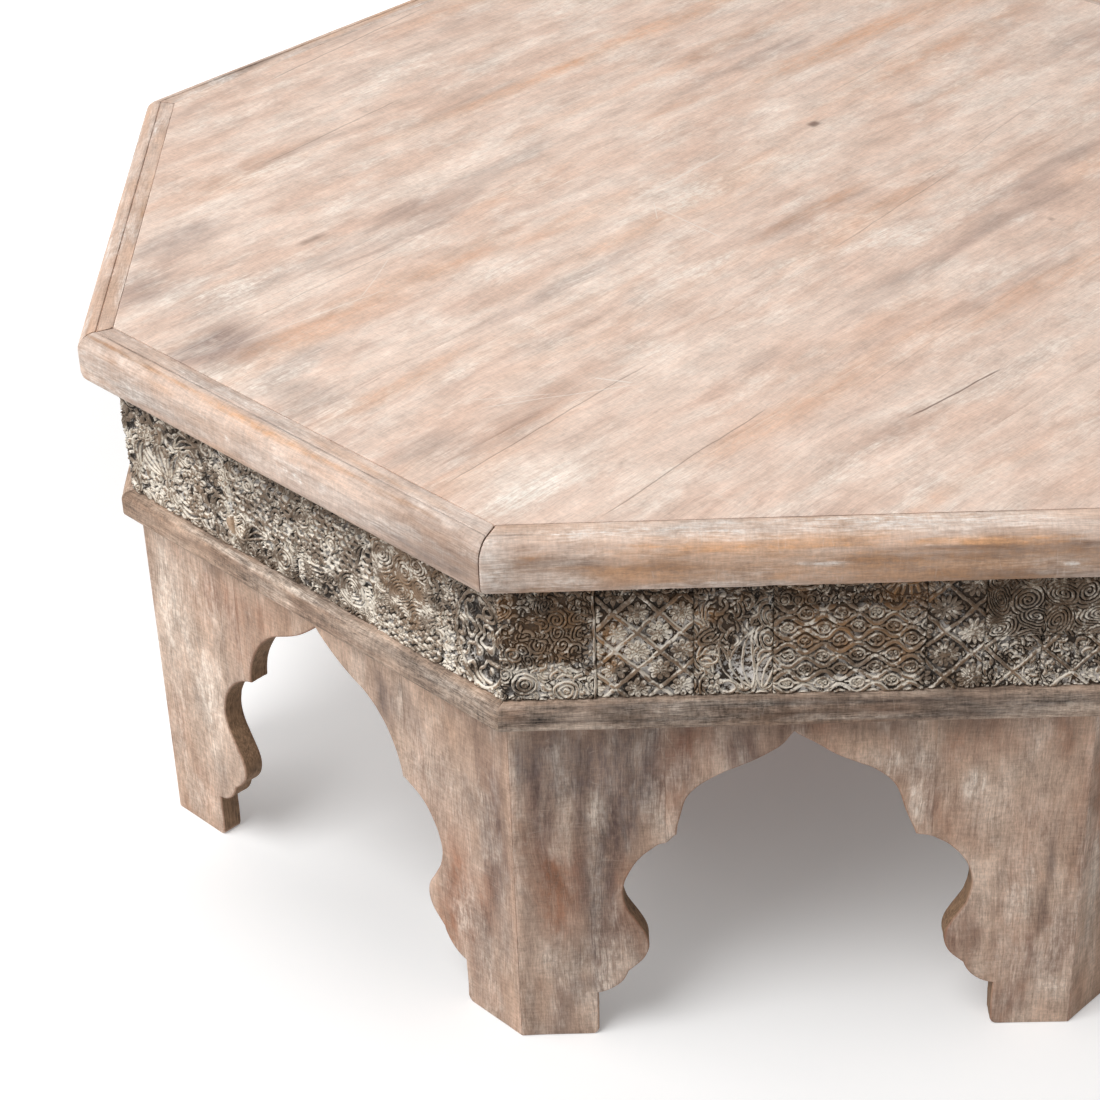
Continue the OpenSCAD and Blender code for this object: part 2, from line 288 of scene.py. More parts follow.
class Graph:
    """Short calls for the nodes of one material."""

    def __init__(self, name):
        self.material = bpy.data.materials.new(name)
        self.material.use_nodes = True
        self.tree = self.material.node_tree
        self.shader = self.tree.nodes["Principled BSDF"]

    def feed(self, socket, value):
        if isinstance(value, Wire):
            self.tree.links.new(value.socket, socket)
        else:
            socket.default_value = value

    def node(self, kind, inputs, output=0, **settings):
        """One output of a new node, or all of them where output is None."""
        made = self.tree.nodes.new(kind)
        for key, value in settings.items():
            setattr(made, key, value)
        for key, value in inputs.items():
            self.feed(made.inputs[key], value)
        if output is None:
            return [Wire(self, socket) for socket in made.outputs]
        return Wire(self, made.outputs[output])

    def attribute(self, name, output="Fac"):
        return self.node("ShaderNodeAttribute", {}, output, attribute_name=name)

    def place(self):
        """The place of a point in its object's own frame."""
        return self.node("ShaderNodeTexCoord", {}, "Object")

    def scaled(self, vector, scale):
        return self.node("ShaderNodeVectorMath", {0: vector, 1: scale}, operation="MULTIPLY")

    def noise(self, vector, along, across, detail=3.0, rough=0.55, twist=0.0):
        """Noise whose features are about 1 / along long and 1 / across wide."""
        inputs = {"Vector": self.scaled(vector, (along, across, across)), "Scale": 1.0,
                  "Detail": detail, "Roughness": rough, "Distortion": twist}
        return self.node("ShaderNodeTexNoise", inputs, "Fac")

    def noises(self, vector, table):
        return [self.noise(vector, *row) for row in table]

    def math(self, operation, a, b=0.0):
        return self.node("ShaderNodeMath", {0: a, 1: b}, operation=operation)

    def mix(self, factor, a, b):
        return self.node("ShaderNodeMix", {0: factor, 6: a, 7: b}, 2, data_type="RGBA")

    def split(self, vector):
        return self.node("ShaderNodeSeparateXYZ", {0: vector}, None)

    def bump(self, height, distance, strength=0.8):
        inputs = {"Height": height, "Distance": distance, "Strength": strength}
        return self.node("ShaderNodeBump", inputs)

    def varied(self, parts, strength=1.0):
        """A factor about 1 from noises, each with how much it counts."""
        total = 1.0
        for value, share in parts:
            total = (value - 0.5) * (share * strength) + total
        return total

    def finish(self, **inputs):
        """The material, once its shader has these inputs."""
        for name, value in inputs.items():
            self.feed(self.shader.inputs[name.replace("_", " ")], value)
        return self.material


# Noises of the woods: scales along and across the grain, detail, roughness and twist
WOOD_NOISES = {
    "broad": (7.0, 24.0, 4.0, 0.6),
    "streak": (15.0, 120.0, 4.0, 0.65),
    "line": (50.0, 850.0, 2.0, 0.6),
    "hair": (230.0, 1500.0, 2.0, 0.7, 0.8),
    "weave": (560.0, 130.0, 2.0, 0.7),
    "blot": (26.0, 48.0, 4.0, 0.6),
    "mottle": (150.0, 260.0, 4.0, 0.7),
    "cloud": (12.0, 30.0, 4.0, 0.65),
}
SCRATCH_COURSES = ((12.0, 120.0), (95.0, 16.0))
SCRATCH_SHARE = 0.14


def scratches(g, grain):
    """Thin broken lines, most of them along the grain or across it."""
    found = 0.0
    for along, across in SCRATCH_COURSES:
        thin = g.noise(grain, along, across, 0.0).off(0.5).steps(0.004, 0.014, 1.0, 0.0)
        kept = g.noise(grain, 60.0, 75.0, 2.0).steps(0.52, 0.64)
        found = g.math("MAXIMUM", thin * kept, found)
    return found * SCRATCH_SHARE


def wood(name, tones, streaks, fine, rubbed, rough, details=None):
    """Weathered, thinly limed wood. tones are the pale, warm, dark, stain, rust, lime and sawn
    colours. The mesh holds grain, in metres, marks: stained, warm and rubbed shares, which in
    places also carry painted light and shade, and sawn."""
    pale, warm, dark, stain, rust, lime, cut = (paint(*tone) for tone in tones)
    g = Graph(name)
    grain = g.attribute("grain", "Vector")
    stained, warmed, worn = g.split(g.attribute("marks", "Vector"))
    sawn = g.attribute("sawn")
    sway = g.noise(grain, 5.0, 16.0, 2.0) * 0.02
    curl = g.noise(grain, 24.0, 45.0, 1.0) * 0.004
    shift = g.node("ShaderNodeCombineXYZ", {1: sway + curl})
    grain = g.node("ShaderNodeVectorMath", {0: grain, 1: shift}, operation="ADD")
    broad, streak, line, hair, weave, blot, mottle, cloud = g.noises(grain, WOOD_NOISES.values())
    colour = g.mix(broad.steps(0.38, 0.64, 0.0, streaks), pale, warm)
    colour = g.mix(streak.steps(0.46, 0.74, 0.0, streaks * 0.7), colour, dark)
    broken = streak + mottle
    colour = g.mix(stained * broken.steps(0.72, 1.25, 0.6, 1.0), colour, stain)
    colour = g.mix(warmed * broken.steps(0.8, 1.15, 0.5, 1.0), colour, rust)
    limed = (cloud.steps(0.46, 0.66) * rubbed + worn) * mottle.steps(0.36, 0.62, 0.45, 1.0)
    limed = limed * line.steps(0.34, 0.56, 0.5, 1.0)
    colour = g.mix(g.math("MINIMUM", limed, 1.0), colour, lime)
    colour = g.mix(scratches(g, grain), colour, lime)
    shades = ((line, 0.65), (hair, 0.85), (mottle, 0.45), (weave, 0.55), (blot, 1.1))
    colour = g.scaled(colour, g.varied(shades, fine))
    colour = g.mix(sawn.steps(0.1, 0.5, 0.0, 0.5), colour, rust)
    sawn_tone = g.scaled(cut[:3], g.varied(((line, 1.6), (mottle, 1.6))))
    colour = g.mix(sawn.steps(0.6, 0.9), colour, sawn_tone)
    if details:
        colour = details(g, colour)
    return g.finish(Base_Color=colour, Roughness=(streak + cloud).steps(0.8, 1.25, rough[1], rough[0]),
                    Normal=g.bump(line + mottle + hair * 0.6, 0.0003), Specular_IOR_Level=0.25)


TOP_TONES = ((236, 212, 196), (218, 184, 164), (194, 160, 143), (152, 132, 124), (222, 172, 138),
             (249, 239, 227), (120, 96, 78))
LIP_TONES = ((216, 193, 178), (205, 168, 142), (160, 124, 102), (104, 85, 75), (211, 162, 122),
             (238, 229, 221), (120, 96, 78))
PANEL_TONES = ((206, 178, 158), (182, 148, 124), (124, 97, 82), (97, 78, 73), (154, 106, 80),
               (234, 218, 203), (140, 112, 88))
RAIL_TONES = ((178, 156, 139), (148, 124, 106), (90, 72, 60), (76, 63, 56), (152, 112, 86),
              (214, 200, 186), (96, 74, 58))

# Fine lines on the top in mm: start and end along and across the planks, half width, share
TOP_CRACKS = [
    ((-203, -308), (-99, -315), 1.1, 0.8), ((-436, -242), (-240, -228), 0.8, 0.5),
    ((-478, -139), (-250, -127), 0.8, 0.45), ((-480, 130), (-230, 135), 0.7, 0.3),
    ((-50, -112), (130, -96), 0.8, 0.35), ((-130, 450), (90, 470), 1.0, 0.4),
    ((-235, 325), (-60, 338), 1.2, 0.35), ((60, -96), (300, -62), 0.7, 0.25),
    ((-200, -262), (60, -246), 0.6, 0.2), ((150, 70), (400, 92), 0.7, 0.25),
]
# The same for pale scratches along the planks, and across them with their places across first
TOP_SCRATCHES = [
    ((-386, -82), (-280, -146), 0.9, 0.5), ((-380, -70), (-330, -112), 0.8, 0.5),
    ((-440, 110), (-300, 92), 0.8, 0.4), ((-330, 96), (-270, 128), 0.8, 0.4),
    ((-90, 56), (40, 62), 1.6, 0.4),
]
CROSS_SCRATCHES = [
    ((-40, -82), (42, -76), 1.0, 0.5), ((20, -92), (44, -70), 0.9, 0.5),
    ((-140, -286), (-112, -300), 1.2, 0.6),
]
# Small spots on the top in mm: place and half size along and across the planks, and share
TOP_SPOTS = [((120, 43), (6, 5), 0.8), ((-290, 195), (14, 4), 0.5), ((105, -203), (3, 3), 0.35)]


def stroke(g, along, across, start, end, width):
    """1 on a line between two places, the first number of each being the place along."""
    inputs = {"Value": along, "From Min": start[0], "From Max": end[0],
              "To Min": start[1], "To Max": end[1]}
    off = across.off(g.node("ShaderNodeMapRange", inputs))
    fade = 0.15 * (end[0] - start[0])
    ends = along.steps(start[0], start[0] + fade) * along.steps(end[0] - fade, end[0], 1.0, 0.0)
    return off.steps(width * 0.3, width, 1.0, 0.0) * ends


def top_details(g, colour):
    """Adds cracks, scratches and small spots to the top's colour."""
    x, y = g.split(g.place())[:2]
    per_mm = math.sqrt(0.5) / MM
    sway = (g.noise(g.attribute("grain", "Vector"), 14.0, 14.0) - 0.5) * 7.0
    along = (x + y) * per_mm
    across = (y - x) * per_mm + sway
    dark, pale = paint(112, 88, 76), paint(246, 236, 226)
    groups = ((TOP_CRACKS, along, across, dark), (CROSS_SCRATCHES, across, along, pale),
              (TOP_SCRATCHES, along, across, pale))
    for lines, ahead, aside, tone in groups:
        for start, end, width, share in lines:
            colour = g.mix(stroke(g, ahead, aside, start, end, width) * share, colour, tone)
    for middle, half, share in TOP_SPOTS:
        inside = [value.off(centre).steps(wide * 0.3, wide * 1.3, 1.0, 0.0)
                  for value, centre, wide in zip((along, across), middle, half)]
        colour = g.mix(inside[0] * inside[1] * share, colour, dark)
    return colour


def carved_wood():
    """Old printing blocks: brown ridges with thin pale lines along their edges, which are partly
    white residue and partly painted highlight, dark recesses, and pale residue that lies in the
    recesses."""
    g = Graph("printing_blocks")
    grain = g.attribute("grain", "Vector")
    relief = g.attribute("relief")
    tone, ochre, residue = g.split(g.attribute("marks", "Vector"))
    speck = g.noise(grain, 900.0, 900.0, 3.0, 0.7)
    grit = g.noise(grain, 330.0, 330.0, 3.0, 0.65)
    blotch = g.noise(grain, 90.0, 90.0, 4.0, 0.6)
    recess = g.mix(blotch.steps(0.35, 0.65), paint(30, 24, 19), paint(66, 52, 40))
    silt = residue * (grit + blotch).steps(0.96, 1.06, 0.0, 1.6)
    recess = g.mix(g.math("MINIMUM", silt, 1.0), recess, paint(232, 228, 224))
    pale_share = (tone + 0.1) * grit.steps(0.3, 0.7, 0.4, 1.5)
    ridge_tone = g.mix(g.math("MINIMUM", pale_share, 1.0), paint(88, 68, 50), paint(190, 169, 148))
    lifted = relief + (speck - 0.5) * 0.3
    colour = g.mix(lifted.steps(0.28, 0.52), recess, ridge_tone)
    colour = g.mix(ochre * (speck + relief).steps(0.3, 1.2, 0.15, 0.85), colour, paint(166, 122, 76))
    kept = grit * 0.5 + blotch * 0.5 + (tone + residue) * 0.15
    # Pale lines on the ridges' flanks: partly white residue, partly painted highlight
    edge = relief.off(0.62).steps(0.14, 0.38, 1.0, 0.0) * kept.steps(0.51, 0.62, 0.12, 1.0)
    colour = g.mix(edge, colour, paint(242, 233, 219))
    return g.finish(Base_Color=colour, Roughness=speck.steps(0.3, 0.7, 0.5, 0.8),
                    Normal=g.bump(speck + grit, 0.0004), Specular_IOR_Level=0.35)


def inner_wood(name, rotation):
    """Plain planed wood of the hidden pieces, whose grain the rotation brings onto x."""
    g = Graph(name)
    grain = g.node("ShaderNodeMapping", {"Vector": g.place(), "Rotation": rotation})
    band = g.noise(grain, 4.0, 45.0, 4.0)
    line = g.noise(grain, 30.0, 520.0)
    colour = g.mix(band.steps(0.35, 0.7), paint(196, 168, 138), paint(166, 134, 104))
    colour = g.mix(line.steps(0.5, 0.8, 0.0, 0.6), colour, paint(122, 94, 70))
    return g.finish(Base_Color=colour, Roughness=band.steps(0.3, 0.7, 0.65, 0.85),
                    Normal=g.bump(line, 0.0003))


def screw_steel():
    """Zinc-plated screws with a dull, slightly spotted skin."""
    g = Graph("zinc_screws")
    spots = g.noise(g.place(), 900.0, 900.0)
    colour = g.mix(spots.steps(0.45, 0.7), paint(196, 196, 190), paint(140, 134, 122))
    return g.finish(Base_Color=colour, Roughness=spots.steps(0.3, 0.7, 0.35, 0.6),
                    Normal=g.bump(spots, 0.00005, 0.6), Metallic=1.0)


top_wood = wood("limed_top", TOP_TONES, 0.6, 0.55, 0.5, (0.5, 0.72), top_details)
lip_wood = wood("waxed_lipping", LIP_TONES, 0.65, 0.75, 0.4, (0.45, 0.7))
panel_wood = wood("weathered_panel", PANEL_TONES, 0.5, 1.05, 0.4, (0.6, 0.85))
rail_wood = wood("weathered_rail", RAIL_TONES, 1.0, 1.8, 0.35, (0.6, 0.85))
carving = carved_wood()


# Top planks

def plank_end(v):
    """Half the length of the field at a distance v across it."""
    return np.minimum(FIELD_OUT, FIELD_OUT * math.sqrt(2) - np.abs(v))


# Broad marks on the top in mm: place along and across the planks, half length, half width,
# and shares of stained, warm and rubbed wood
TOP_MARKS = [
    (-435, 235, 50, 26, 0.65), (-445, 118, 52, 36, 0.95), (-355, 272, 60, 20, 0.7),
    (-452, 20, 30, 60, 0.45, 0, 0.3), (-300, 165, 60, 16, 0.4, 0, 0.2),
    (-350, 88, 130, 20, 0, 0.55), (-390, 170, 60, 26, 0.3, 0, 0.5),
    (-420, 60, 40, 16, 0.5, 0, 0.3), (-195, 325, 60, 7, 0.5), (-440, -100, 36, 30, 0.35, 0, 0.2),
    (-400, 205, 40, 10, 0.5, 0, 0.3), (-80, 292, 80, 14, 0.3, 0.2), (-400, -20, 90, 12, 0, 0.5),
    (-230, 90, 90, 14, 0.25, 0.3), (-140, 210, 60, 26, 0, 0, 0.4), (110, 280, 160, 12, 0, 0.45),
    (250, 130, 150, 18, 0.15, 0.4), (60, 150, 120, 9, 0.2, 0.25), (0, -58, 70, 9, 0.35, 0.55),
    (40, -95, 140, 12, 0.3, 0.2), (-330, -110, 110, 22, 0.3, 0.15), (-390, -130, 60, 9, 0.35),
    (-120, -210, 150, 14, 0.1, 0.2), (-170, -310, 150, 16, 0.3, 0.1),
    (-60, 20, 140, 16, 0.05, 0.35, 0.1), (330, 60, 110, 20, 0.25, 0.2), (400, -20, 60, 30, 0.4),
    (-250, 330, 120, 14, 0.2, 0.25), (20, 395, 130, 12, 0.25, 0.1, 0.2),
    (200, 210, 120, 16, 0, 0.4), (-250, -30, 130, 14, 0.05, 0.25, 0.2),
    (250, -120, 130, 14, 0.25, 0.15), (-440, -175, 50, 35, 0, 0, 0.6),
]
TOP_PATCHES = ((0.2, 0.03, 0, 0.62, 0.8, 0.5), (0.26, 0.035, 5, 0.55, 0.8, 0.4),
               (0.12, 0.02, 9, 0.55, 0.8, 0.3))


def top_marks(u, v, seed):
    """Stained, warm and rubbed shares over the planks, with soft broken edges."""
    broken = (fractal(u / 0.05 + 20, v / 0.012 + 20, seed) - 0.5) * 1.1
    return with_marks(free_marks(u, v, 1, 71, TOP_PATCHES), TOP_MARKS, u, v, broken, 1.25, 0.2)


# How far each plank's wood lies from the next one's, so that the planks nearly match
PLANK_CHANGE = 5 * MM
# Points along and across a plank, the width and drop of its eased edges, its waves, how far it
# lies under the highest level and its gap at the ends
PLANK_STATIONS, PLANK_LINES = 240, 38
PLANK_EASE, PLANK_DROP = 0.3 * MM, 0.12 * MM
PLANK_WAVE, PLANK_UNDER, PLANK_GAP = 0.3 * MM, 0.15 * MM, 0.1 * MM


def make_plank(k):
    """One plank with softened edges and ends and a faintly uneven face."""
    low_v, high_v = (k - 1) * PLANK_WIDE - FIELD_OUT, k * PLANK_WIDE - FIELD_OUT
    middle = np.linspace(low_v + 3 * MM, high_v - 3 * MM, PLANK_LINES)
    across = np.concatenate([[low_v, low_v + PLANK_EASE], middle, [high_v - PLANK_EASE, high_v]])
    corner = FIELD_OUT * (math.sqrt(2) - 1)
    for place in (-corner, corner):
        if low_v < place < high_v:
            across[np.abs(across - place).argmin()] = place
    stations = dense_ends(PLANK_STATIONS, FIELD_OUT)
    v = np.concatenate([across, across[::-1]])[None]
    upper = np.arange(v.size)[None] < across.size
    u = stations[:, None] * (plank_end(v) - PLANK_GAP)
    wave = (fractal(u / 0.12 + 7, v / 0.04 + 7, 5) - 0.5) * PLANK_WAVE
    at_edge = np.minimum(v - low_v, high_v - v) < 0.25 * PLANK_EASE
    at_end = np.abs(np.abs(stations[:, None]) - 1) < 1e-9
    drop = wave + PLANK_DROP * (at_edge | at_end)
    z = np.where(upper, TOP - PLANK_UNDER - drop, PLANK_LOW)
    v = np.broadcast_to(v, u.shape)
    x = (u - v) * math.sqrt(0.5)
    y = (u + v) * math.sqrt(0.5)
    rows, columns = u.shape
    faces = grid_faces(rows, columns, True)
    for row, way in ((0, -1), (rows - 1, 1)):
        for n in range(across.size - 1):
            quad = [row * columns + m for m in (n, n + 1, columns - 2 - n, columns - 1 - n)]
            faces.append(quad[::way])
    points = np.stack([x, y, z], -1).reshape(-1, 3)
    grain = grain_of(u.ravel(), v.ravel(), z.ravel() + PLANK_CHANGE * k, 100)
    marks = top_marks(u.ravel(), v.ravel(), 30 + k)
    make_piece(f"plank_{k}", points, faces, top_wood, "top_boards", f"top_plank_{k}",
               grain=grain, marks=marks)


# Edge lipping and waist rail

BAR_GAP = 0.75 * MM
QUIRK_DEEP, QUIRK_WAY = 1.0 * MM, 12 * MM
TONGUE_HALF, GROOVE_PLAY, GROOVE_DEEP = 3 * MM, 0.15 * MM, 5.15 * MM
# Radii of the upper and lower outer edges
LIP_UPPER, LIP_LOWER = 13.5 * MM, 10 * MM
RAIL_UPPER, RAIL_LOWER = 7 * MM, 3 * MM

# Marks along the two bars of each kind that the photograph shows, in mm: place along the side,
# way over the bar from its inner top edge, half length, half width, and shares of stained, warm
# and rubbed wood. On side 1's lipping the paler strip along the top is painted light and the
# darker nose is painted shade.
LIP_MARKS = {
    # Painted light: the paler top strip (0, 11); painted shade: the darker nose (0, 50)
    1: [(0, 50, 230, 26, 0.36, 0.55), (145, 48, 90, 24, 0.7, 0.1),
        (0, 11, 230, 14, -0.4, 0.4, 0.7), (-170, 46, 44, 20, 0.4, 0.2), (-30, 26, 110, 9, 0, 0.8),
        (110, 31, 90, 4, 0, 0.8), (130, 36, 110, 3, 0.7), (-160, 41, 36, 6, 0.95),
        (-80, 46, 40, 4, 0.7), (0, 45, 50, 3, 0.5), (60, 43, 40, 3, 0.4),
        (-198, 40, 14, 22, 0, 0, 0.5), (8, 46, 16, 1.6, 0, 0, 1), (100, 45, 30, 4, 0.35),
        (-60, 60, 70, 3, 0, 0, 0.6), (150, 58, 30, 5, 0.4), (165, 51, 4, 2, 0, 0, 1),
        (-150, 55, 30, 6, 0, 0, 0.3), (70, 5, 120, 4, 0, 0.4, 0.3), (-120, 12, 60, 5, 0, 0.3, 0.3),
        (105, 46, 2, 3, 0.8)],
    8: [(-10, 21, 130, 5, 0, 0.7), (-160, 20, 60, 2.5, 0.6, 0.4), (-140, 52, 70, 8, 0.5, 0, 0.2),
        (0, 48, 230, 14, 0.15, -0.3, 0.3), (130, 20, 70, 2.5, 0.5, 0.5),
        (165, 42, 60, 30, 0.62, -0.1, -0.1), (-190, 34, 40, 30, 0.45, 0.1),
        (22, 46, 2, 1.8, 0, 0, 1), (31, 46.5, 1.6, 1.6, 0, 0, 1), (36, 48, 1.6, 1.6, 0, 0, 1),
        (-40, 46, 2, 1.6, 0, 0, 0.8), (100, 8, 80, 4, 0, 0.4), (-80, 8, 90, 5, 0.3, 0, 0.3),
        (-60, 58, 60, 3, 0, 0.5)],
}
RAIL_MARKS = {
    1: [(0, 14, 230, 16, 0.35), (-100, 14, 110, 10, 0.35), (-80, 6, 120, 4, 0.5, 0, 0.1),
        (120, 10, 110, 7, 0.5), (100, 22, 90, 3, 0.9), (110, 29, 90, 2, -0.5, 0, 0.6),
        (40, 22, 60, 3, 0, 0, 0.5), (-150, 25, 50, 3, 0, 0, 0.4), (0, 17, 60, 2, 0.9),
        (130, 18, 70, 2, 0.9), (-190, 12, 12, 12, 0.2, 0.3), (-110, 20, 80, 2, 0.9),
        (60, 9, 80, 1.8, 0.9), (160, 14, 50, 2, 0.9)],
    8: [(-40, 4, 120, 5, 0, 0, 0.6), (-60, 16, 100, 4, 0.4), (120, 10, 70, 6, 0.35, 0, 0.2),
        (0, 22, 120, 4, 0, 0.4, 0.2)],
}
BAR_PATCHES = ((0.12, 0.011, 3, 0.55, 0.78, 0.7), (0.2, 0.016, 5, 0.48, 0.75, 0.6),
               (0.07, 0.012, 7, 0.5, 0.78, 0.7))


def lipping_section():
    """Clockwise outline of the lipping: [out, z], with a quirk that parts a flat inner strip
    from the round."""
    quirk = FIELD_OUT + QUIRK_WAY
    upper = turned_corner((LIP_OUT, TOP), (-1, 0), (0, -1), LIP_UPPER, 16)
    lower = turned_corner((LIP_OUT, LIP_LOW), (0, 1), (-1, 0), LIP_LOWER, 10)
    start = [(LEDGE_IN, LIP_LOW), (LEDGE_IN, PLANK_LOW), (FIELD_OUT, PLANK_LOW),
             (FIELD_OUT + PLANK_GAP, TOP - 0.5 * MM), (FIELD_OUT + 0.5 * MM, TOP - PLANK_UNDER),
             (quirk - 0.7 * MM, TOP - 0.2 * MM), (quirk, TOP - QUIRK_DEEP),
             (quirk + 0.4 * MM, TOP - 0.1 * MM)]
    return spaced(np.concatenate([start, upper, lower]), 2 * MM)


def rail_section():
    """Clockwise outline of the rail, with its two grooves."""
    def groove(middle, level, deep, half=TONGUE_HALF + GROOVE_PLAY):
        return [(middle - half, level), (middle - half, level + deep),
                (middle + half, level + deep), (middle + half, level)]
    upper = turned_corner((RAIL_OUT, RAIL_HIGH), (-1, 0), (0, -1), RAIL_UPPER, 9)
    lower = turned_corner((RAIL_OUT, RAIL_LOW), (0, 1), (-1, 0), RAIL_LOWER, 6)
    for_apron = groove((PANEL_IN + BLOCK_IN) / 2, RAIL_HIGH, -GROOVE_DEEP)
    for_panel = groove((PANEL_IN + PANEL_OUT) / 2, RAIL_LOW, GROOVE_DEEP)[::-1]
    start = [(RAIL_IN, RAIL_LOW), (RAIL_IN, RAIL_HIGH)]
    return spaced(np.concatenate([start, for_apron, upper, lower, for_panel]), 3.5 * MM)


def bar_marks(side, x, over, placed, seed):
    """Stained, warm and rubbed shares along a bar, over being the way over it from its top."""
    free = 0.35 if side in placed else 1.0
    marks = free * free_marks(x, over, side, seed, BAR_PATCHES)
    if placed is LIP_MARKS:
        # Darker wood along the quirk line
        quirk_darkening = (1.2 if side in placed else 0.5) * fractal(x / 0.04 + side, x / 0.04, seed + 4)
        off_quirk = np.abs(over - QUIRK_WAY - 0.7 * QUIRK_DEEP)
        marks[..., 0] += quirk_darkening * smooth(off_quirk, 1.1 * MM, 0.4 * MM)
    broken = fractal(x / 0.03 + 20, over / 0.004, seed + 3) - 0.5
    return with_marks(marks, placed.get(side, []), x, over, broken, 1.3, 0.25)


def make_bars():
    """The lipping and the rail. Each kind has its names, material, outline, gap at the mitres,
    depth of dents, upper inner edge, marks and first seed."""
    kinds = [("lipping", "edge_lipping", "lipping", lip_wood, lipping_section(), BAR_GAP, 0.6,
              FIELD_OUT, TOP, LIP_MARKS, 200),
             ("rail", "waist_rail", "waist_rail", rail_wood, rail_section(), 0.25 * BAR_GAP, 0.7,
              BLOCK_OUT, RAIL_HIGH, RAIL_MARKS, 400)]
    for side in range(1, SIDES + 1):
        for name, node, slot, material, section, gap, dent, edge, level, placed, seed in kinds:
            points, faces, (x, out, z) = mitred_bar(side, section, gap, dent * MM, seed + side)
            marks = bar_marks(side, x, out - edge + level - z, placed, seed + 40)
            make_piece(f"{name}_{side}", points, faces, material, slot, f"{node}_{side}",
                       grain=grain_of(x, out, z, seed + 100 + side), marks=marks)


# Leg panels

# How far a board's edges are rounded: at the arch, the foot, the corner, its joints and its top
ARCH_ROUND, FOOT_ROUND, CORNER_ROUND = 1.9 * MM, 1.2 * MM, 0.55 * MM
JOINT_ROUND, TOP_ROUND = 0.05 * MM, 0.15 * MM
# Where a board's end starts to follow the mitre, and the pitch of points on its two faces
MITRE_START = 150 * MM
FRONT_PITCH, BACK_PITCH = 3.5 * MM, 9 * MM
WORN_FOOT = 1.5 * MM


def unsplit(places):
    """For each point the first one that lies at the same place, since faces don't share theirs."""
    same = np.linalg.norm(places[:, None] - places[None], axis=2) < SAME_PLACE
    return same.argmax(1)


def board_outlines():
    """The three boards' outlines on the outer face of side 1's panel, each [x, z] and
    anticlockwise."""
    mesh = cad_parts["leg_panel_1"].data
    places = np.array([v.co for v in mesh.vertices])
    shared = unsplit(places)
    on_face = np.abs(places[:, 1] + PANEL_OUT) < SAME_PLACE
    edges = set()
    for face in mesh.polygons:
        corners = [int(shared[v]) for v in face.vertices]
        if all(on_face[corners]):
            edges |= set(zip(corners, corners[1:] + corners[:1]))
    after = {a: b for a, b in edges if (b, a) not in edges}
    outlines = []
    while after:
        loop = [min(after)]
        while loop[-1] in after:
            loop.append(after.pop(loop[-1]))
        if loop[-1] == loop[0]:
            loop.pop()
        outlines.append(places[loop][:, [0, 2]])
    return outlines


def eased(outline):
    """The outline with two more points on each stretch of a curve, and its corners kept."""
    ahead = np.roll(outline, -1, 0) - outline
    behind = np.roll(ahead, 1, 0)
    cross = behind[:, 0] * ahead[:, 1] - behind[:, 1] * ahead[:, 0]
    turn = np.arctan2(cross, (behind * ahead).sum(1))
    bends = (np.abs(turn) < math.radians(18)) & (np.abs(turn) > math.radians(0.5))
    tangent = (ahead + behind) / 2
    points = []
    for n, start in enumerate(outline):
        m = (n + 1) % len(outline)
        points.append(start)
        if (bends[n] or bends[m]) and np.linalg.norm(ahead[n]) > 3.5 * MM:
            t0 = tangent[n] if bends[n] else ahead[n]
            t1 = tangent[m] if bends[m] else ahead[n]
            for t in (1 / 3, 2 / 3):
                points.append(start * (2 * t ** 3 - 3 * t ** 2 + 1) + t0 * (t ** 3 - 2 * t ** 2 + t)
                              + outline[m] * (3 * t ** 2 - 2 * t ** 3) + t1 * (t ** 3 - t ** 2))
    return spaced(np.array(points), 4 * MM)


def filled(loop, pitch):
    """Inner points at a pitch and the triangles that fill a loop with them."""
    low, high = loop.min(0), loop.max(0)
    x, z = np.meshgrid(np.arange(low[0], high[0], pitch), np.arange(low[1], high[1], pitch))
    spots = np.stack([x.ravel(), z.ravel()], -1) + pitch / 3
    start, step = loop, np.roll(loop, -1, 0) - loop
    gap = spots[:, None] - start[None]
    share = np.clip((gap * step).sum(2) / (step ** 2).sum(1), 0, 1)
    away = np.linalg.norm(gap - share[..., None] * step, axis=2).min(1)
    end = start + step
    crosses = (start[:, 1] > spots[:, None, 1]) != (end[:, 1] > spots[:, None, 1])
    rise = np.where(step[:, 1] == 0, 1, step[:, 1])
    meets = start[:, 0] + gap[..., 1] / rise * step[:, 0]
    inside = ((spots[:, None, 0] < meets) & crosses).sum(1) % 2 == 1
    spots = spots[inside & (away > pitch * 0.55)]
    every = np.concatenate([loop, spots])
    rim = [(n, (n + 1) % len(loop)) for n in range(len(loop))]
    made = delaunay_2d_cdt([Vector(p) for p in every], rim, [], 1, 1e-7)
    source = [first[0] if first else int(np.linalg.norm(every - np.array(place), axis=1).argmin())
              for first, place in zip(made[3], made[0])]
    return spots, [[source[v] for v in face] for face in made[2]]


def edge_radii(loop, joint):
    """How far each edge of a leg board is rounded: the arch most, the glued joints hardly."""
    x, z = np.abs(loop + np.roll(loop, -1, 0)).T / 2
    radius = np.full(len(loop), ARCH_ROUND)
    radius[z < FLOOR + PLAY] = FOOT_ROUND
    radius[x > PANEL_OUT * MITRE - PLAY] = CORNER_ROUND
    radius[np.abs(x - joint) < 4 * PLAY] = JOINT_ROUND
    radius[z > RAIL_LOW - PLAY] = TOP_ROUND
    return radius


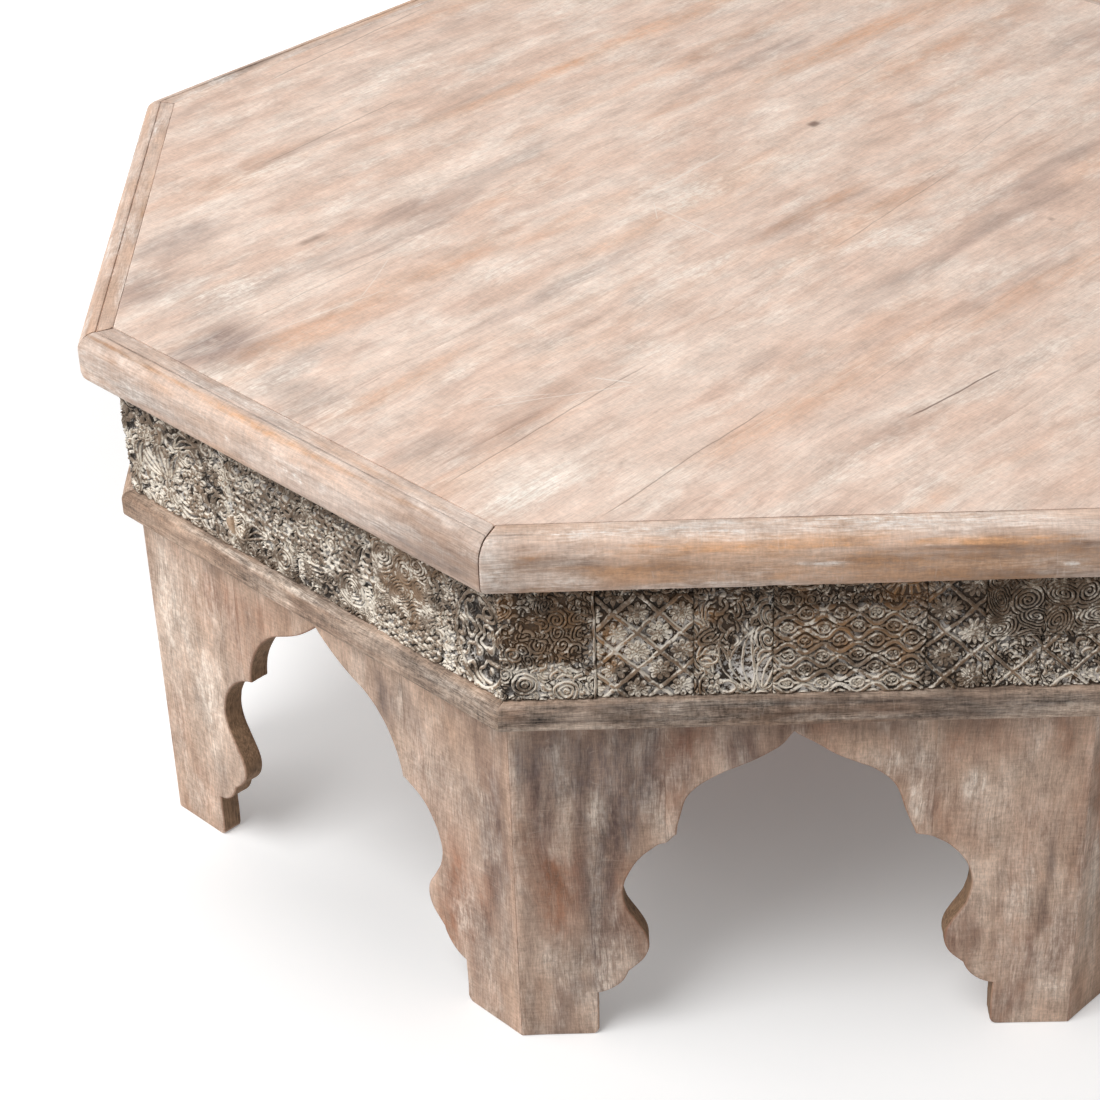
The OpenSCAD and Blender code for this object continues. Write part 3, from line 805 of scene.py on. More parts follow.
def inset_steps(loop, radius):
    """For each point the step that moves both of its edges in by their own radius."""
    ahead = np.roll(loop, -1, 0) - loop
    ahead /= np.linalg.norm(ahead, axis=1)[:, None]
    left = np.stack([-ahead[:, 1], ahead[:, 0]], -1)
    before, reach_before = np.roll(left, 1, 0), np.roll(radius, 1)
    cross = before[:, 0] * left[:, 1] - before[:, 1] * left[:, 0]
    corner = np.abs(cross) > 0.25
    safe = np.where(corner, cross, 1)
    meet = np.stack([reach_before * left[:, 1] - radius * before[:, 1],
                     radius * before[:, 0] - reach_before * left[:, 0]], -1) / safe[:, None]
    mean = before + left
    plain = mean / np.linalg.norm(mean, axis=1)[:, None] * ((radius + reach_before) / 2)[:, None]
    step = np.where(corner[:, None], meet, plain)
    most = 1.7 * np.maximum(radius, reach_before)
    return step * np.minimum(1, most / np.linalg.norm(step, axis=1))[:, None]


# Where side 1's arch was sawn off its line, in mm: place, push to the right and up, and spread
ARCH_SLIPS = [
    (-70, 222, -6, 0, 24), (0, 268, -4.5, 0, 12), (76, 196, -6.5, 0, 24), (-83, 178, 0, 4.5, 14),
]


def slipped(loop, joint):
    """Side 1's outline with the hand-sawn arch's slips, which die out at the glued joints."""
    moved = loop.copy()
    free = smooth(np.abs(np.abs(loop[:, 0]) - joint), 0, 7 * MM) * (loop[:, 1] < RAIL_LOW - 5 * MM)
    for x, z, right, up, spread in ARCH_SLIPS:
        far = np.hypot(loop[:, 0] - x * MM, loop[:, 1] - z * MM) / (spread * MM)
        moved += (free * np.exp(-far ** 2))[:, None] * np.array([right, up]) * MM
    return moved


def worn_foot(loop):
    """The outline with the feet's inner lower corners worn round."""
    foot = np.abs(loop[loop[:, 1] < FLOOR + PLAY, 0])
    inner = foot.min() if len(foot) else 0
    far = np.hypot(np.abs(loop[:, 0]) - inner, loop[:, 1] - FLOOR) / (6 * MM)
    wear = WORN_FOOT * np.clip(1 - far, 0, 1) ** 2 * (len(foot) > 0)
    return loop + wear[:, None] * np.stack([np.sign(loop[:, 0]), np.ones(len(loop))], -1)


def board_ring(loop, step, share, depth):
    """The outline moved into the wood by a share of its steps, at a depth behind the face.
    Its end follows the mitre."""
    ring = loop + step * np.reshape(share, (-1, 1))
    near_end = np.clip((np.abs(loop[:, 0]) - MITRE_START) / (PANEL_OUT * MITRE - MITRE_START), 0, 1)
    ring[:, 0] -= np.sign(loop[:, 0]) * near_end * (depth * MITRE + PLAY)
    return ring


def leg_board(side, loop, joint, seed):
    """One upright board with rounded edges, a faintly uneven face and sawn reveals.
    Returns its points in the side's frame, its faces and its share of sawn surface."""
    radius = edge_radii(loop, joint)
    hand_cut = (radius == ARCH_ROUND) & (np.roll(radius, 1) == ARCH_ROUND)
    if side == 1:
        loop = slipped(loop, joint)
    loop = worn_foot(loop)
    along = np.cumsum(np.linalg.norm(np.diff(loop, axis=0, prepend=loop[:1]), axis=1))
    step = inset_steps(loop, radius)
    wander = (fractal(along / 0.025, 0 * along + side, seed) - 0.5) * 0.8
    loop = loop + step * (wander * hand_cut)[:, None]
    rounding = np.maximum(radius, np.roll(radius, 1))
    thick = PANEL_OUT - PANEL_IN
    turns = np.radians([90, 60, 30, 0])
    plan = [(1 - math.cos(t), rounding * (1 - math.sin(t)), 1 - t / turns[0]) for t in turns]
    for share in (0.2, 0.4, 0.6, 0.8):
        rough = (noise(along / 0.006, 0 * along + share * 40, seed + 5) - 0.3) * 0.2
        plan.append((rough * hand_cut, rounding + (thick - 2 * rounding) * share, 1.0))
    plan += [(share, thick - depth, cut) for share, depth, cut in plan[3::-1]]
    rings = [board_ring(loop, step, share, depth) for share, depth, cut in plan]
    count = len(loop)
    faces = [face[::-1] for face in grid_faces(len(rings), count, True)]
    inner_front, front = filled(rings[0], FRONT_PITCH)
    inner_back, back = filled(rings[-1], BACK_PITCH)
    last_ring = (len(rings) - 1) * count
    front_start = len(rings) * count
    back_start = front_start + len(inner_front)
    for filling, ring_start, inner_start, way in ((front, 0, front_start, 1),
                                                  (back, last_ring, back_start, -1)):
        faces += [[v + ring_start if v < count else v - count + inner_start for v in face][::way]
                  for face in filling]
    x, z = np.concatenate(rings + [inner_front, inner_back]).T
    inner = np.zeros(len(inner_front) + len(inner_back))
    sawn = np.concatenate([hand_cut * ring[2] for ring in plan] + [inner])
    depth = np.concatenate([ring[1] for ring in plan] + [inner])
    depth[back_start:] = thick
    hollow = fractal(x / 0.05 + 30, z / 0.11 + 3 * side, seed + 9) * 0.7 * MM
    hollow *= smooth(PANEL_OUT * MITRE - np.abs(x), 0, 20 * MM) * smooth(depth, thick * 0.4, 0)
    return (x, PANEL_OUT - depth - hollow, z), faces, sawn


def tongue_box(low_x, high_x):
    """The tongue along a leg board's upper end, mitred at the panel's ends."""
    middle, half = (PANEL_IN + PANEL_OUT) / 2, TONGUE_HALF
    points = []
    for z in (RAIL_LOW - SAME_PLACE, TONGUE_HIGH):
        for out in (middle - half, middle + half):
            points += [(max(low_x, -out * MITRE), out, z), (min(high_x, out * MITRE), out, z)]
    faces = [[0, 1, 3, 2], [4, 6, 7, 5], [0, 4, 5, 1], [2, 3, 7, 6], [0, 2, 6, 4], [1, 5, 7, 3]]
    return np.array(points), faces


# Marks on the two panels that the photograph shows, in mm along and up the side: place,
# half width, half height, and shares of stained, warm and rubbed wood
PANEL_MARKS = {
    1: [(-150, 170, 75, 190, 0.5), (150, 250, 60, 30, 0.15), (0, 280, 200, 18, 0.45),
        (-100, 250, 90, 36, 0.4), (-175, 200, 12, 55, 0.7), (-150, 245, 60, 22, 0.45, 0, 0.1),
        (-125, 215, 22, 45, 0.7), (-165, 140, 16, 60, 0, 0.8), (-135, 90, 10, 70, 0.55, 0, 0.1),
        (-168, 30, 16, 40, 0.25, 0.2, 0.2), (-100, 235, 26, 30, 0.5),
        (-88, 175, 10, 30, 0, 0, 0.55), (90, 205, 9, 34, 0.65), (60, 240, 30, 14, 0.1, 0, 0.5),
        (80, 205, 5, 25, 0, 0.1, 0.8), (102, 248, 9, 16, 0.2, 0.6), (84, 246, 9, 12, 0, 0, 0.5),
        (118, 217, 9, 13, -0.3, 0, 0.9), (124, 200, 20, 30, 0, 0, 0.45),
        (150, 125, 17, 80, -0.4, 0.7, 0.3), (175, 150, 5, 32, 0.75), (171, 105, 5, 28, 0.75),
        (165, 70, 6, 22, 0.7), (182, 60, 10, 50, 0.35, 0.3, 0.1), (116, 85, 18, 40, 0.5, 0.5),
        (184, 34, 12, 17, -0.4, 0, 0.95), (186, 39, 1.6, 1.8, 1, 0, -1),
        (150, 258, 50, 22, 0, 0.35), (150, 20, 18, 22, 0.7, 0.3), (170, 190, 26, 30, 0, 0.3, 0.2),
        (160, 60, 40, 40, 0.3, 0.35), (-50, 255, 30, 14, 0.35, 0.2)],
    8: [(165, 110, 45, 130, 0.3, 0.1), (-150, 140, 60, 110, -0.4, 0, 0.3),
        (-170, 215, 22, 60, -0.3, 0.2, 0.75), (-180, 100, 14, 60, 0, 0.5, 0.3),
        (-130, 225, 44, 34, -0.3, 0.5, 0.3), (-140, 150, 18, 50, 0.1, 0.2, 0.6),
        (-100, 245, 40, 24, -0.2, 0.7, 0.1), (-160, 40, 24, 34, 0.1, 0.3, 0.3),
        (80, 240, 40, 26, 0.5, 0, 0.15), (130, 200, 30, 50, 0.35, 0, 0.4),
        (178, 200, 8, 70, 0.65, 0.1), (150, 110, 22, 55, 0.1, 0.65, 0.1),
        (185, 90, 8, 70, 0.3, 0.1, 0.3), (135, 70, 20, 34, 0.1, 0.6, 0.1),
        (165, 30, 24, 30, 0.1, 0.4, 0.3), (100, 190, 12, 34, 0.2, 0.1, 0.35)],
}
PANEL_PATCHES = ((0.035, 0.08, 9, 0.52, 0.72, 0.7), (0.04, 0.1, 7, 0.5, 0.75, 0.7),
                 (0.02, 0.07, 5, 0.55, 0.78, 0.6))
# Shares along the panels' corner arrises: paler, warmer wood, partly wear and partly painted highlight
ARRIS_WEAR_AND_HIGHLIGHT = np.array([-0.4, 0.45, 0.3])


def panel_marks(side, x, z):
    """Stained, warm and rubbed shares over a panel."""
    free = 0.6 if side in PANEL_MARKS else 1.0
    # Paler, warmer wood along the corner arrises, partly wear and partly painted highlight
    arris_wear_and_highlight = smooth(np.abs(x), PANEL_OUT * MITRE - 5 * MM, PANEL_OUT * MITRE - 1 * MM)
    arris_wear_and_highlight *= 0.4 + fractal(z / 0.03 + side, z / 0.03, 65)
    marks = free * free_marks(x, z, side, 62, PANEL_PATCHES) + arris_wear_and_highlight[..., None] * ARRIS_WEAR_AND_HIGHLIGHT
    broken = (fractal(x / 0.02 + 20, z / 0.05 + side, 61) - 0.5) * 1.2
    return with_marks(marks, PANEL_MARKS.get(side, []), x, z, broken, 1.4, 0.1)


def make_panels():
    """The eight leg panels, each with its three boards and their tongues in one mesh."""
    outlines = [eased(outline) for outline in board_outlines()]
    joint = min(np.abs(o[:, 0]).max() for o in outlines)
    for side in range(1, SIDES + 1):
        points, faces, grain, sawn = [], [], [], []
        for n, outline in enumerate(outlines):
            seed = 600 + 10 * side + n
            (x, out, z), board_faces, board_sawn = leg_board(side, outline, joint, seed)
            box, box_faces = tongue_box(outline[:, 0].min(), outline[:, 0].max())
            x, out, z = (np.concatenate(pair) for pair in zip((x, out, z), box.T))
            shift = sum(len(p) for p in points)
            box_shift = shift + len(x) - len(box)
            faces += [[v + shift for v in face] for face in board_faces]
            faces += [[v + box_shift for v in face] for face in box_faces]
            points.append(np.stack([x, out, z], -1))
            grain.append(grain_of(z, x, out, seed))
            sawn.append(np.concatenate([board_sawn, np.zeros(len(box))]))
        flat = np.concatenate(points)
        make_piece(f"panel_{side}", to_side(side, *flat.T), faces, panel_wood, "leg_boards",
                   f"leg_panel_{side}", sharp=50, grain=np.concatenate(grain),
                   marks=panel_marks(side, flat[:, 0], flat[:, 2]), sawn=np.concatenate(sawn))


# Carving, in mm on each block's own face: x from its left end and z from its foot

CARVE_STEP = 0.55
CARVE_DEPTH = 3.3
RIM_DROP, RIM_WIDE = 0.9, 1.4
# The relief that a block's plain sides and back are coloured by
PLAIN_RELIEF = 0.3


def ridge(distance, width, soft=1.0):
    """1 on a ridge of the given width and 0 away from it."""
    return smooth(width / 2 - np.abs(distance), -soft / 2, soft / 2)


def repeated(value, pitch):
    """Signed distance to the nearest multiple of the pitch."""
    return (value + pitch / 2) % pitch - pitch / 2


def spot(x, z, wide, high, soft=0.8):
    """1 inside an ellipse with the given half axes."""
    return smooth((1 - np.hypot(x / wide, z / high)) * min(wide, high), -soft / 2, soft / 2)


def turned(x, z, angle):
    """Places in a frame turned by an angle."""
    return x * math.cos(angle) + z * math.sin(angle), z * math.cos(angle) - x * math.sin(angle)


def circles(x, z, pitch, width, twist=0.0):
    """Rings round a middle, or a spiral where twist is 1 or -1."""
    far = np.hypot(x, z)
    turn = twist * pitch * np.arctan2(z, x) / (2 * math.pi)
    return ridge(repeated(far - turn - pitch / 2, pitch), width)


# Grounds that fill a block

def scattered(x, z, seed, cell, count):
    """The cells of a grid over the block, each with its own drawn numbers."""
    for i in range(-1, int(x.max() / cell) + 2):
        for j in range(-1, int(z.max() / cell) + 2):
            yield i, j, np.random.default_rng([seed, i + 2, j + 2]).uniform(0, 1, count)


def feathers(x, z, seed, cell=24.0, pitch=4.2, width=2.3):
    """Spirals about scattered middles, each cutting into the next like feathers."""
    nearest = np.full(x.shape, 1e9)
    carved = np.zeros(x.shape)
    for i, j, draw in scattered(x, z, seed, cell, 5):
        dx, dz = x - (i + 0.2 + 0.6 * draw[0]) * cell, z - (j + 0.2 + 0.6 * draw[1]) * cell
        dx, dz = turned(dx, dz, math.pi * draw[3])
        dz = dz * (1 + draw[4])
        far = np.hypot(dx, dz)
        made = circles(dx, dz, pitch, width, 1 if draw[2] > 0.5 else -1)
        carved = np.where(far < nearest, made, carved)
        nearest = np.minimum(nearest, far)
    return carved


def commas(x, z, seed, cell=7.5, width=2.6):
    """Curved tapering strokes at scattered places, each cut clear of the ones below it, on
    combed lines. Some of them are cut in two along their length."""
    carved = 0.8 * contours(x, z, seed + 1, cell * 1.4, width * 1.15, width * 0.62)
    for i, j, draw in scattered(x, z, seed, cell, 6):
        dx, dz = x - (i + draw[0]) * cell, z - (j + draw[1]) * cell
        near = np.hypot(dx, dz) < cell * 1.3
        if not near.any():
            continue
        bend = cell * (0.4 + 0.5 * draw[3])
        a, b = turned(dx[near], dz[near], 2 * math.pi * draw[2])
        far, angle = np.hypot(a + bend, b), np.arctan2(b, a + bend)
        share = angle / (0.9 + 0.8 * draw[4])
        thick = width * np.clip(0.85 - 0.45 * share, 0.35, 1.2)
        off = np.abs(far - bend)
        split = draw[5] > 0.6
        made = ridge(off - 0.3 * thick, 0.42 * thick) if split else ridge(off, thick, 1.2)
        covers = (np.abs(share) < 1.1) & (off < thick / 2 + 0.9)
        carved[near] = np.where(covers, made * smooth(np.abs(share), 1.05, 0.9), carved[near])
    return carved


def contours(x, z, seed, size=15.0, pitch=2.9, width=1.6):
    """Lines that follow the levels of a smooth field, like combed leaves."""
    level = fractal(x / size + seed, z / size, seed, 2)
    slope_z, slope_x = np.gradient(level, CARVE_STEP)
    steep = np.maximum(np.hypot(slope_x, slope_z), 0.35 / size)
    return ridge(repeated(level, 0.75 * pitch / size) / steep, width)


def scrolls(x, z, seed):
    """Close arcs of scrolls, with curved strokes among them."""
    share = fractal(x / 17 + seed, z / 17, seed + 2, 2)
    arcs = feathers(x, z, seed + 5, 11.5, 3.1, 1.7)
    return np.where(share > 0.52, commas(x, z, seed, 7.0, 2.5), arcs)


def leaves(x, z, seed):
    """Long curved leaves side by side, with short strokes between them."""
    share = fractal(x / 15 + seed, z / 20, seed + 2, 2)
    curved = feathers(x, z, seed + 5, 19.0, 4.4, 2.5)
    return np.where(share > 0.58, commas(x, z, seed, 8.0, 2.8), curved)


plumes = partial(feathers, cell=21.0, pitch=3.0, width=1.65)
fine_scrolls = partial(commas, cell=5.8, width=2.1)
bold_scrolls = partial(commas, cell=11.5, width=4.4)


def banded(a, b, pitch, band, between):
    """Crossing bands along a and b with something else between them."""
    off = np.minimum(np.abs(repeated(a, pitch)), np.abs(repeated(b, pitch)))
    return np.where(off < band / 2 + 0.9, ridge(off, band, 0.8), between)


def lattice(x, z, seed, pitch=21.0, petals=8, band=2.7):
    """Crossing diagonal bands with a floret in each cell."""
    a, b = turned(x - 41.5, z - 37, math.radians(45))
    ca, cb = repeated(a + pitch / 2, pitch), repeated(b + pitch / 2, pitch)
    cell_x, cell_z = turned(ca, cb, -math.radians(45))
    inner = floret(cell_x, cell_z, pitch * 0.16, 6)
    flower = np.maximum(floret(cell_x, cell_z, pitch * 0.41, petals), inner)
    square = np.maximum(np.abs(ca), np.abs(cb)) - pitch * 0.5 + 4.0
    rim = ridge(square, 1.2) * (np.hypot(ca, cb) > pitch * 0.45)
    return banded(a, b, pitch, band, np.maximum(flower, rim))


def wide_lattice(x, z, seed):
    """A lattice with larger cells."""
    return lattice(x + 29, z + 28, seed, 26.0, 13, 2.3)


def leafy_lattice(x, z, seed):
    """Crossing diagonal bands over short strokes."""
    a, b = turned(x - 20, z - 12, math.radians(45))
    return banded(a, b, 27.0, 2.2, commas(x, z, seed, 5.4, 2.2))


def ogee(x, z, seed, wave=23.0, row=11.0, swing=3.6):
    """Wavy ribs in opposite phase with a looped bud in each opening."""
    carved = np.zeros(x.shape)
    angle = 2 * math.pi * (x - 9) / wave
    for n in range(-1, int(z.max() / row) + 2):
        sign = 1 if n % 2 else -1
        slope = sign * swing * 2 * math.pi / wave * np.sin(angle)
        line = n * row + 3 + sign * swing * np.cos(angle)
        off = (z - line) / np.sqrt(1 + slope ** 2)
        carved = np.maximum(carved, ridge(off, 2.6, 0.8))
        bud_x = repeated(x - 9 - (wave / 2 if sign > 0 else 0), wave)
        bud_z = z - (n + 0.5) * row - 3
        loop = np.hypot(bud_x * 0.85, bud_z + 0.1 * np.abs(bud_x)) - 4.0
        eye = np.hypot(np.abs(bud_x) - 1.6, bud_z - 0.4) - 1.1
        bar = ridge(bud_z, 1.3) * (np.abs(np.abs(bud_x) - 6.8) < 1.9)
        for lobe in (ridge(loop, 1.3), ridge(eye, 0.9, 0.7), spot(bud_x, bud_z + 2.2, 0.8, 1.1), bar):
            carved = np.maximum(carved, lobe)
    return carved


def florets(x, z, seed):
    """Rows of small close florets, with dots between them."""
    row = np.round(z / 9.0)
    in_row, over_row = x - (row % 2) * 5.0, z - row * 9.0
    flower = floret(repeated(in_row, 10.0), over_row, 4.7, 6)
    return np.maximum(flower, spot(repeated(in_row - 5, 10.0), over_row, 1.0, 1.4))


def ovals(x, z, seed):
    """A raised ground pitted with ovals, with leafy scrolls along its foot."""
    row = np.round(z / 5.8)
    pits = spot(repeated(x - (row % 2) * 3.9, 7.8), z - row * 5.8, 2.9, 2.1)
    return np.where(z < 30 + 5 * np.sin(x / 9), scrolls(x, z, seed), 1 - pits)


def plumage(x, z, seed):
    """Fine shallow feathers over rows of florets."""
    feathered = feathers(x, z, seed, 19.0, 2.9, 1.5)
    return np.where(z < 25, florets(x, z, seed), 0.3 + 0.7 * feathered)


def filleted_scrolls(x, z, seed):
    """Leafy scrolls with a row of buds beside a fillet at the right end."""
    right = x.max()
    buds = commas(x, z, seed + 1, 5.0, 2.6)
    edge = np.maximum(buds * (x < right - 3), ridge(x - right + 1.8, 1.5))
    return np.where(x > right - 10, edge, scrolls(x, z, seed))


# Motifs laid on a ground. Each takes places about its own middle and a size, and one more
# number, and gives the carving and how far it covers.

def floret(x, z, size, petals):
    """Hollowed round petals about a dot."""
    far, angle = np.hypot(x, z), np.arctan2(z, x)
    fold = repeated(angle, 2 * math.pi / petals)
    half = 0.66 * size * math.sin(math.pi / petals) * 0.85
    along, aside = far * np.cos(fold) - 0.66 * size, far * np.sin(fold)
    petal = spot(along, aside, 0.32 * size, half)
    if size > 6:
        petal = petal - 0.4 * spot(along, aside, 0.15 * size, half * 0.4)
    return np.maximum(petal, spot(x, z, 0.2 * size, 0.2 * size))


def flower_motif(x, z, size, petals):
    """A round flower."""
    return floret(x, z, size, petals), np.hypot(x, z) < size


def leaf_motif(x, z, size, degrees):
    """A pointed leaf from its stalk, curved, with an outline and lines along it."""
    along, aside = turned(x, z, math.radians(degrees))
    share = np.clip(along / size, 0, 1)
    aside = aside - 0.16 * size * np.sin(math.pi * share)
    inside = 0.17 * size * np.sin(math.pi * share ** 0.8) - np.abs(aside)
    carved = np.maximum(ridge(inside - 0.8, 1.6), ridge(np.abs(aside) - 0.25 * share, 1.2))
    return carved, (inside > -0.4) & (share > 0) & (share < 1)


def boss_motif(x, z, size, pitch):
    """A boss of rings."""
    return circles(x, z, pitch, pitch * 0.55), np.hypot(x, z) < size


def oval_motif(x, z, size, squash):
    """An oval ring about combed leaves."""
    far = np.hypot(x, z * squash)
    inner = contours(x + 60, z + 60, int(size), 17.0, 3.8, 2.0)
    return np.where(far > size - 3.4, ridge(far - size + 1.4, 1.9), inner), far < size


def toothed_motif(x, z, size, teeth):
    """A rosette of rings with teeth round it."""
    far, angle = np.hypot(x, z), np.arctan2(z, x)
    rim = spot(repeated(angle, 2 * math.pi / teeth) * far, far - size + 2.2, 1.1, 1.9)
    return np.where(far > size - 4.2, rim, circles(x, z, 3.4, 1.8)), far < size


def fan_motif(x, z, size, pitch):
    """Rings with a band of short ribs in them."""
    far, angle = np.hypot(x, z), np.arctan2(z, x)
    ribs = ridge(repeated(angle, math.radians(14)) * far, 2.0)
    ribbed = (far > size * 0.62) & (far < size * 0.92)
    return np.where(ribbed, ribs, circles(x, z, pitch, pitch * 0.55)), far < size


def disc_motif(x, z, size, rim):
    """A smooth worn disc."""
    return 0 * x + 1.0, np.hypot(x, z) < size


# Each design: its ground, its shares of pale tone, ochre and residue, and its motifs in the
# order of their cutting, each with its places, sizes and further numbers
DESIGNS = {
    "scroll": (filleted_scrolls, (0.05, 0.3, 0.25), [
        (boss_motif, [(16, 13, 10, 3.2), (43, 7, 9, 3.0)])]),
    "lattice": (lattice, (0.3, 0.25, 0.5), []),
    "leaf": (leaves, (0.35, 0.3, 0.55), [
        (leaf_motif, [(33, 4, 44, 112), (38, 4, 48, 88), (44, 3, 38, 62), (29, 3, 30, 140)]),
        (oval_motif, [(9, 29, 8, 1.7), (22, 6, 7, 1.2)]), (flower_motif, [(12, 10, 7.5, 7)])]),
    "ogee": (ogee, (0.25, 0.25, 0.4), []),
    "fan": (fine_scrolls, (0.25, 0.45, 0.15), [
        (boss_motif, [(19, 28, 17, 3.6), (50, 28, 15, 3.6)]), (fan_motif, [(86, 28, 24, 3.8)]),
        (boss_motif, [(across, 4, 4, 2.6) for across in (6, 15, 24, 33)])]),
    "wide": (wide_lattice, (0.15, 0.15, 0.3), []),
    "floret": (leafy_lattice, (0.25, 0.15, 0.25), []),
    "swirl": (plumes, (0.2, 0.15, 0.15), []),
    "strip": (fine_scrolls, (0.15, 0.15, 0.15), []),
    "flower": (bold_scrolls, (0.3, 0.1, 0.3), [
        (leaf_motif, [(50, 26, 38, 100), (46, 30, 36, 140), (54, 30, 36, 60), (60, 60, 34, 20),
                      (18, 26, 34, 70), (86, 10, 34, 160)]),
        (flower_motif, [(84, 42, 11, 7), (80, 19, 10, 8), (26, 64, 10, 8), (34, 14, 9, 7),
                        (108, 56, 10, 8)]),
        (boss_motif, [(99, 75, 9, 3.8), (12, 82, 9, 3.8), (112, 30, 9, 3.8)]),
        (disc_motif, [(124, 21, 8, 0)])]),
    "rosette": (ovals, (0.15, 0.05, 0.35), [
        (toothed_motif, [(20, 62, 12, 15), (50, 49, 12, 15)]), (leaf_motif, [(12, 14, 34, 20)]),
        (boss_motif, [(54, 16, 10, 3.6)])]),
    "roundel": (ovals, (0.2, 0.05, 0.35), [
        (toothed_motif, [(10, 60, 13, 17), (40, 51, 11, 14)]), (flower_motif, [(15, 33, 9, 8)]),
        (leaf_motif, [(34, 24, 30, 175)]), (boss_motif, [(59, 22, 14, 3.0)]),
        (leaf_motif, [(66, 44, 26, 60)])]),
    "tops": (ovals, (0.1, 0.05, 0.3), [
        (toothed_motif, [(18, 6, 12, 15), (38, 6, 11, 14), (62, 16, 10, 13)])]),
    "plumage": (plumage, (0.6, 0.15, 0.2), []),
    "medallion": (fine_scrolls, (0.45, 0.2, 0.3), [(oval_motif, [(45, 40, 24, 0.6)])]),
}

# The designs of the sides' blocks, each from its left end, a lower block before the strip on it
SIDE_DESIGNS = [
    "scroll lattice strip leaf strip ogee fan wide floret swirl floret swirl",
    "medallion flower strip rosette ogee fan scroll plumage",
    "swirl strip lattice flower strip leaf strip plumage medallion",
    "flower roundel strip ogee fan lattice leaf",
    "plumage flower strip scroll strip rosette fan lattice floret swirl ogee swirl",
    "leaf ogee fan medallion flower strip lattice scroll",
    "lattice fan plumage roundel strip scroll strip swirl medallion",
    "flower rosette tops roundel tops plumage medallion",
]

# Marks on the two friezes that the photograph shows, in mm along and up the side: place,
# half width, half height, and shares of pale tone, ochre and residue
FRIEZE_MARKS = {
    1: [(-193, 375, 8, 11, 0.3, 1), (-165, 355, 34, 24, -0.3, 0.35, -0.4),
        (0, 350, 210, 60, 0, 0.15), (-175, 322, 26, 9, 0.5, 0, 1),
        (-148, 318, 24, 12, 0.5, 0.1, 1), (-165, 306, 30, 5, 0.2, 0, 0.5),
        (-134, 358, 2.5, 20, 1, 0, 1), (-139, 352, 6, 22, 0.3, 0.1, 0.5),
        (-124, 345, 9, 26, 0, 0.7, 0.1), (-104, 340, 22, 18, 0.3, 0, 0.6),
        (-92, 362, 22, 9, 0.2, 0.1, 0.5), (-64, 367, 6, 9, 0.2, 0.9), (-60, 331, 10, 8, 0.3, 0.3),
        (-44, 322, 26, 14, 0.3, 0.1, 0.6), (-30, 350, 16, 24, 0.1, 0, 0.3),
        (-42, 372, 20, 18, -0.2, 0, -0.3), (20, 310, 60, 7, 0.3, 0, 0.7),
        (10, 350, 30, 12, 0, 0.4), (60, 345, 24, 18, 0, 0.3), (66, 376, 20, 16, 0, 0.5),
        (110, 345, 20, 16, 0.2, 0, 0.4), (150, 330, 50, 18, 0, 0, 0.3),
        (165, 309, 40, 6, 0.4, 0.2, 0.6), (120, 370, 14, 20, -0.3, 0, -0.2),
        (175, 380, 24, 14, 0.1)],
    8: [(-150, 330, 60, 50, 0.2, 0.1, 0.2), (-75, 350, 14, 40, 0.1, 0, 0.5),
        (0, 350, 70, 40, 0.1, 0, 0.2), (-71, 324, 9, 9, 1, 0.4), (70, 330, 10, 40, 0.3, 0, 0.7),
        (105, 360, 30, 34, -0.2, 0.4, -0.3), (100, 312, 28, 8, 0.2, 0, 0.4),
        (150, 330, 18, 30, 0.2, 0.1, 0.3), (170, 306, 30, 7, 0.4, 0, 0.7)],
}


def side_frame(side, places):
    """Points of the table's frame in a side's own frame."""
    turn = SIDE_TURN * (side - 1)
    x, y, z = places.T
    return x * math.cos(turn) + y * math.sin(turn), x * math.sin(turn) - y * math.cos(turn), z


def solids(node):
    """The points of each separate solid of a node."""
    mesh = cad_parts[node].data
    places = np.array([v.co for v in mesh.vertices])
    shared = unsplit(places)
    group = shared.copy()
    before = None
    while before is None or (group != before).any():
        before = group.copy()
        for face in mesh.polygons:
            corners = shared[list(face.vertices)]
            group[corners] = group[corners].min()
        group = group[shared]
    return [places[group == g] for g in np.unique(group)]


def carved_relief(design, x, z, seed):
    """The design's carving, 1 on the ridges and 0 in the recesses, worn in places."""
    ground, _, motifs = DESIGNS[design]
    swayed = []
    for shift in (6, 8):
        slow = fractal(x / 11 + shift, z / 11 + seed, seed + shift) - 0.5
        quick = noise(x / 3.4, z / 3.4, seed + shift + 1) - 0.5
        swayed.append(2.6 * slow + 0.5 * quick)
    x, z = x + swayed[0], z + swayed[1]
    relief = ground(x, z, seed)
    for motif, spots in motifs:
        for across, up, size, more in spots:
            shape, cover = motif(x - across, z - up, size, more)
            relief = np.where(cover, shape, relief)
    around = relief
    for shift in (-2, 2):
        for axis in (0, 1):
            around = np.maximum(around, np.roll(relief, shift, axis))
    relief = np.maximum(relief, 0.4 * contours(x, z, seed + 3, 7.0, 2.2, 1.1) * (1 - around))
    worn = patches(x / 16 + seed, z / 16, seed + 1, 0.5, 0.8)
    chipped = patches(x / 3 + seed, z / 3, seed + 4, 0.6, 0.75)
    return np.clip(relief, 0, 1) * (1 - 0.4 * worn) * (1 - 0.3 * chipped)


def block_marks(side, design, x, z, seed):
    """Shares of pale tone, ochre and residue over a block."""
    blotch = [fractal(x / size / MM + 9 * side, z / size / MM, seed + n)
              for n, size in enumerate((22, 14, 11))]
    spread = np.stack([0.5 + blotch[0], 2 * smooth(blotch[1], 0.5, 0.72),
                       1.6 * smooth(blotch[2], 0.42, 0.7)], -1)
    marks = np.array(DESIGNS[design][1]) * spread * (0.5 if side in FRIEZE_MARKS else 1.0)
    broken = (fractal(x / 0.013 + 20, z / 0.013, 81) - 0.5) * 2
    return with_marks(marks, FRIEZE_MARKS.get(side, []), x, z, broken, 1.35, 0.3)


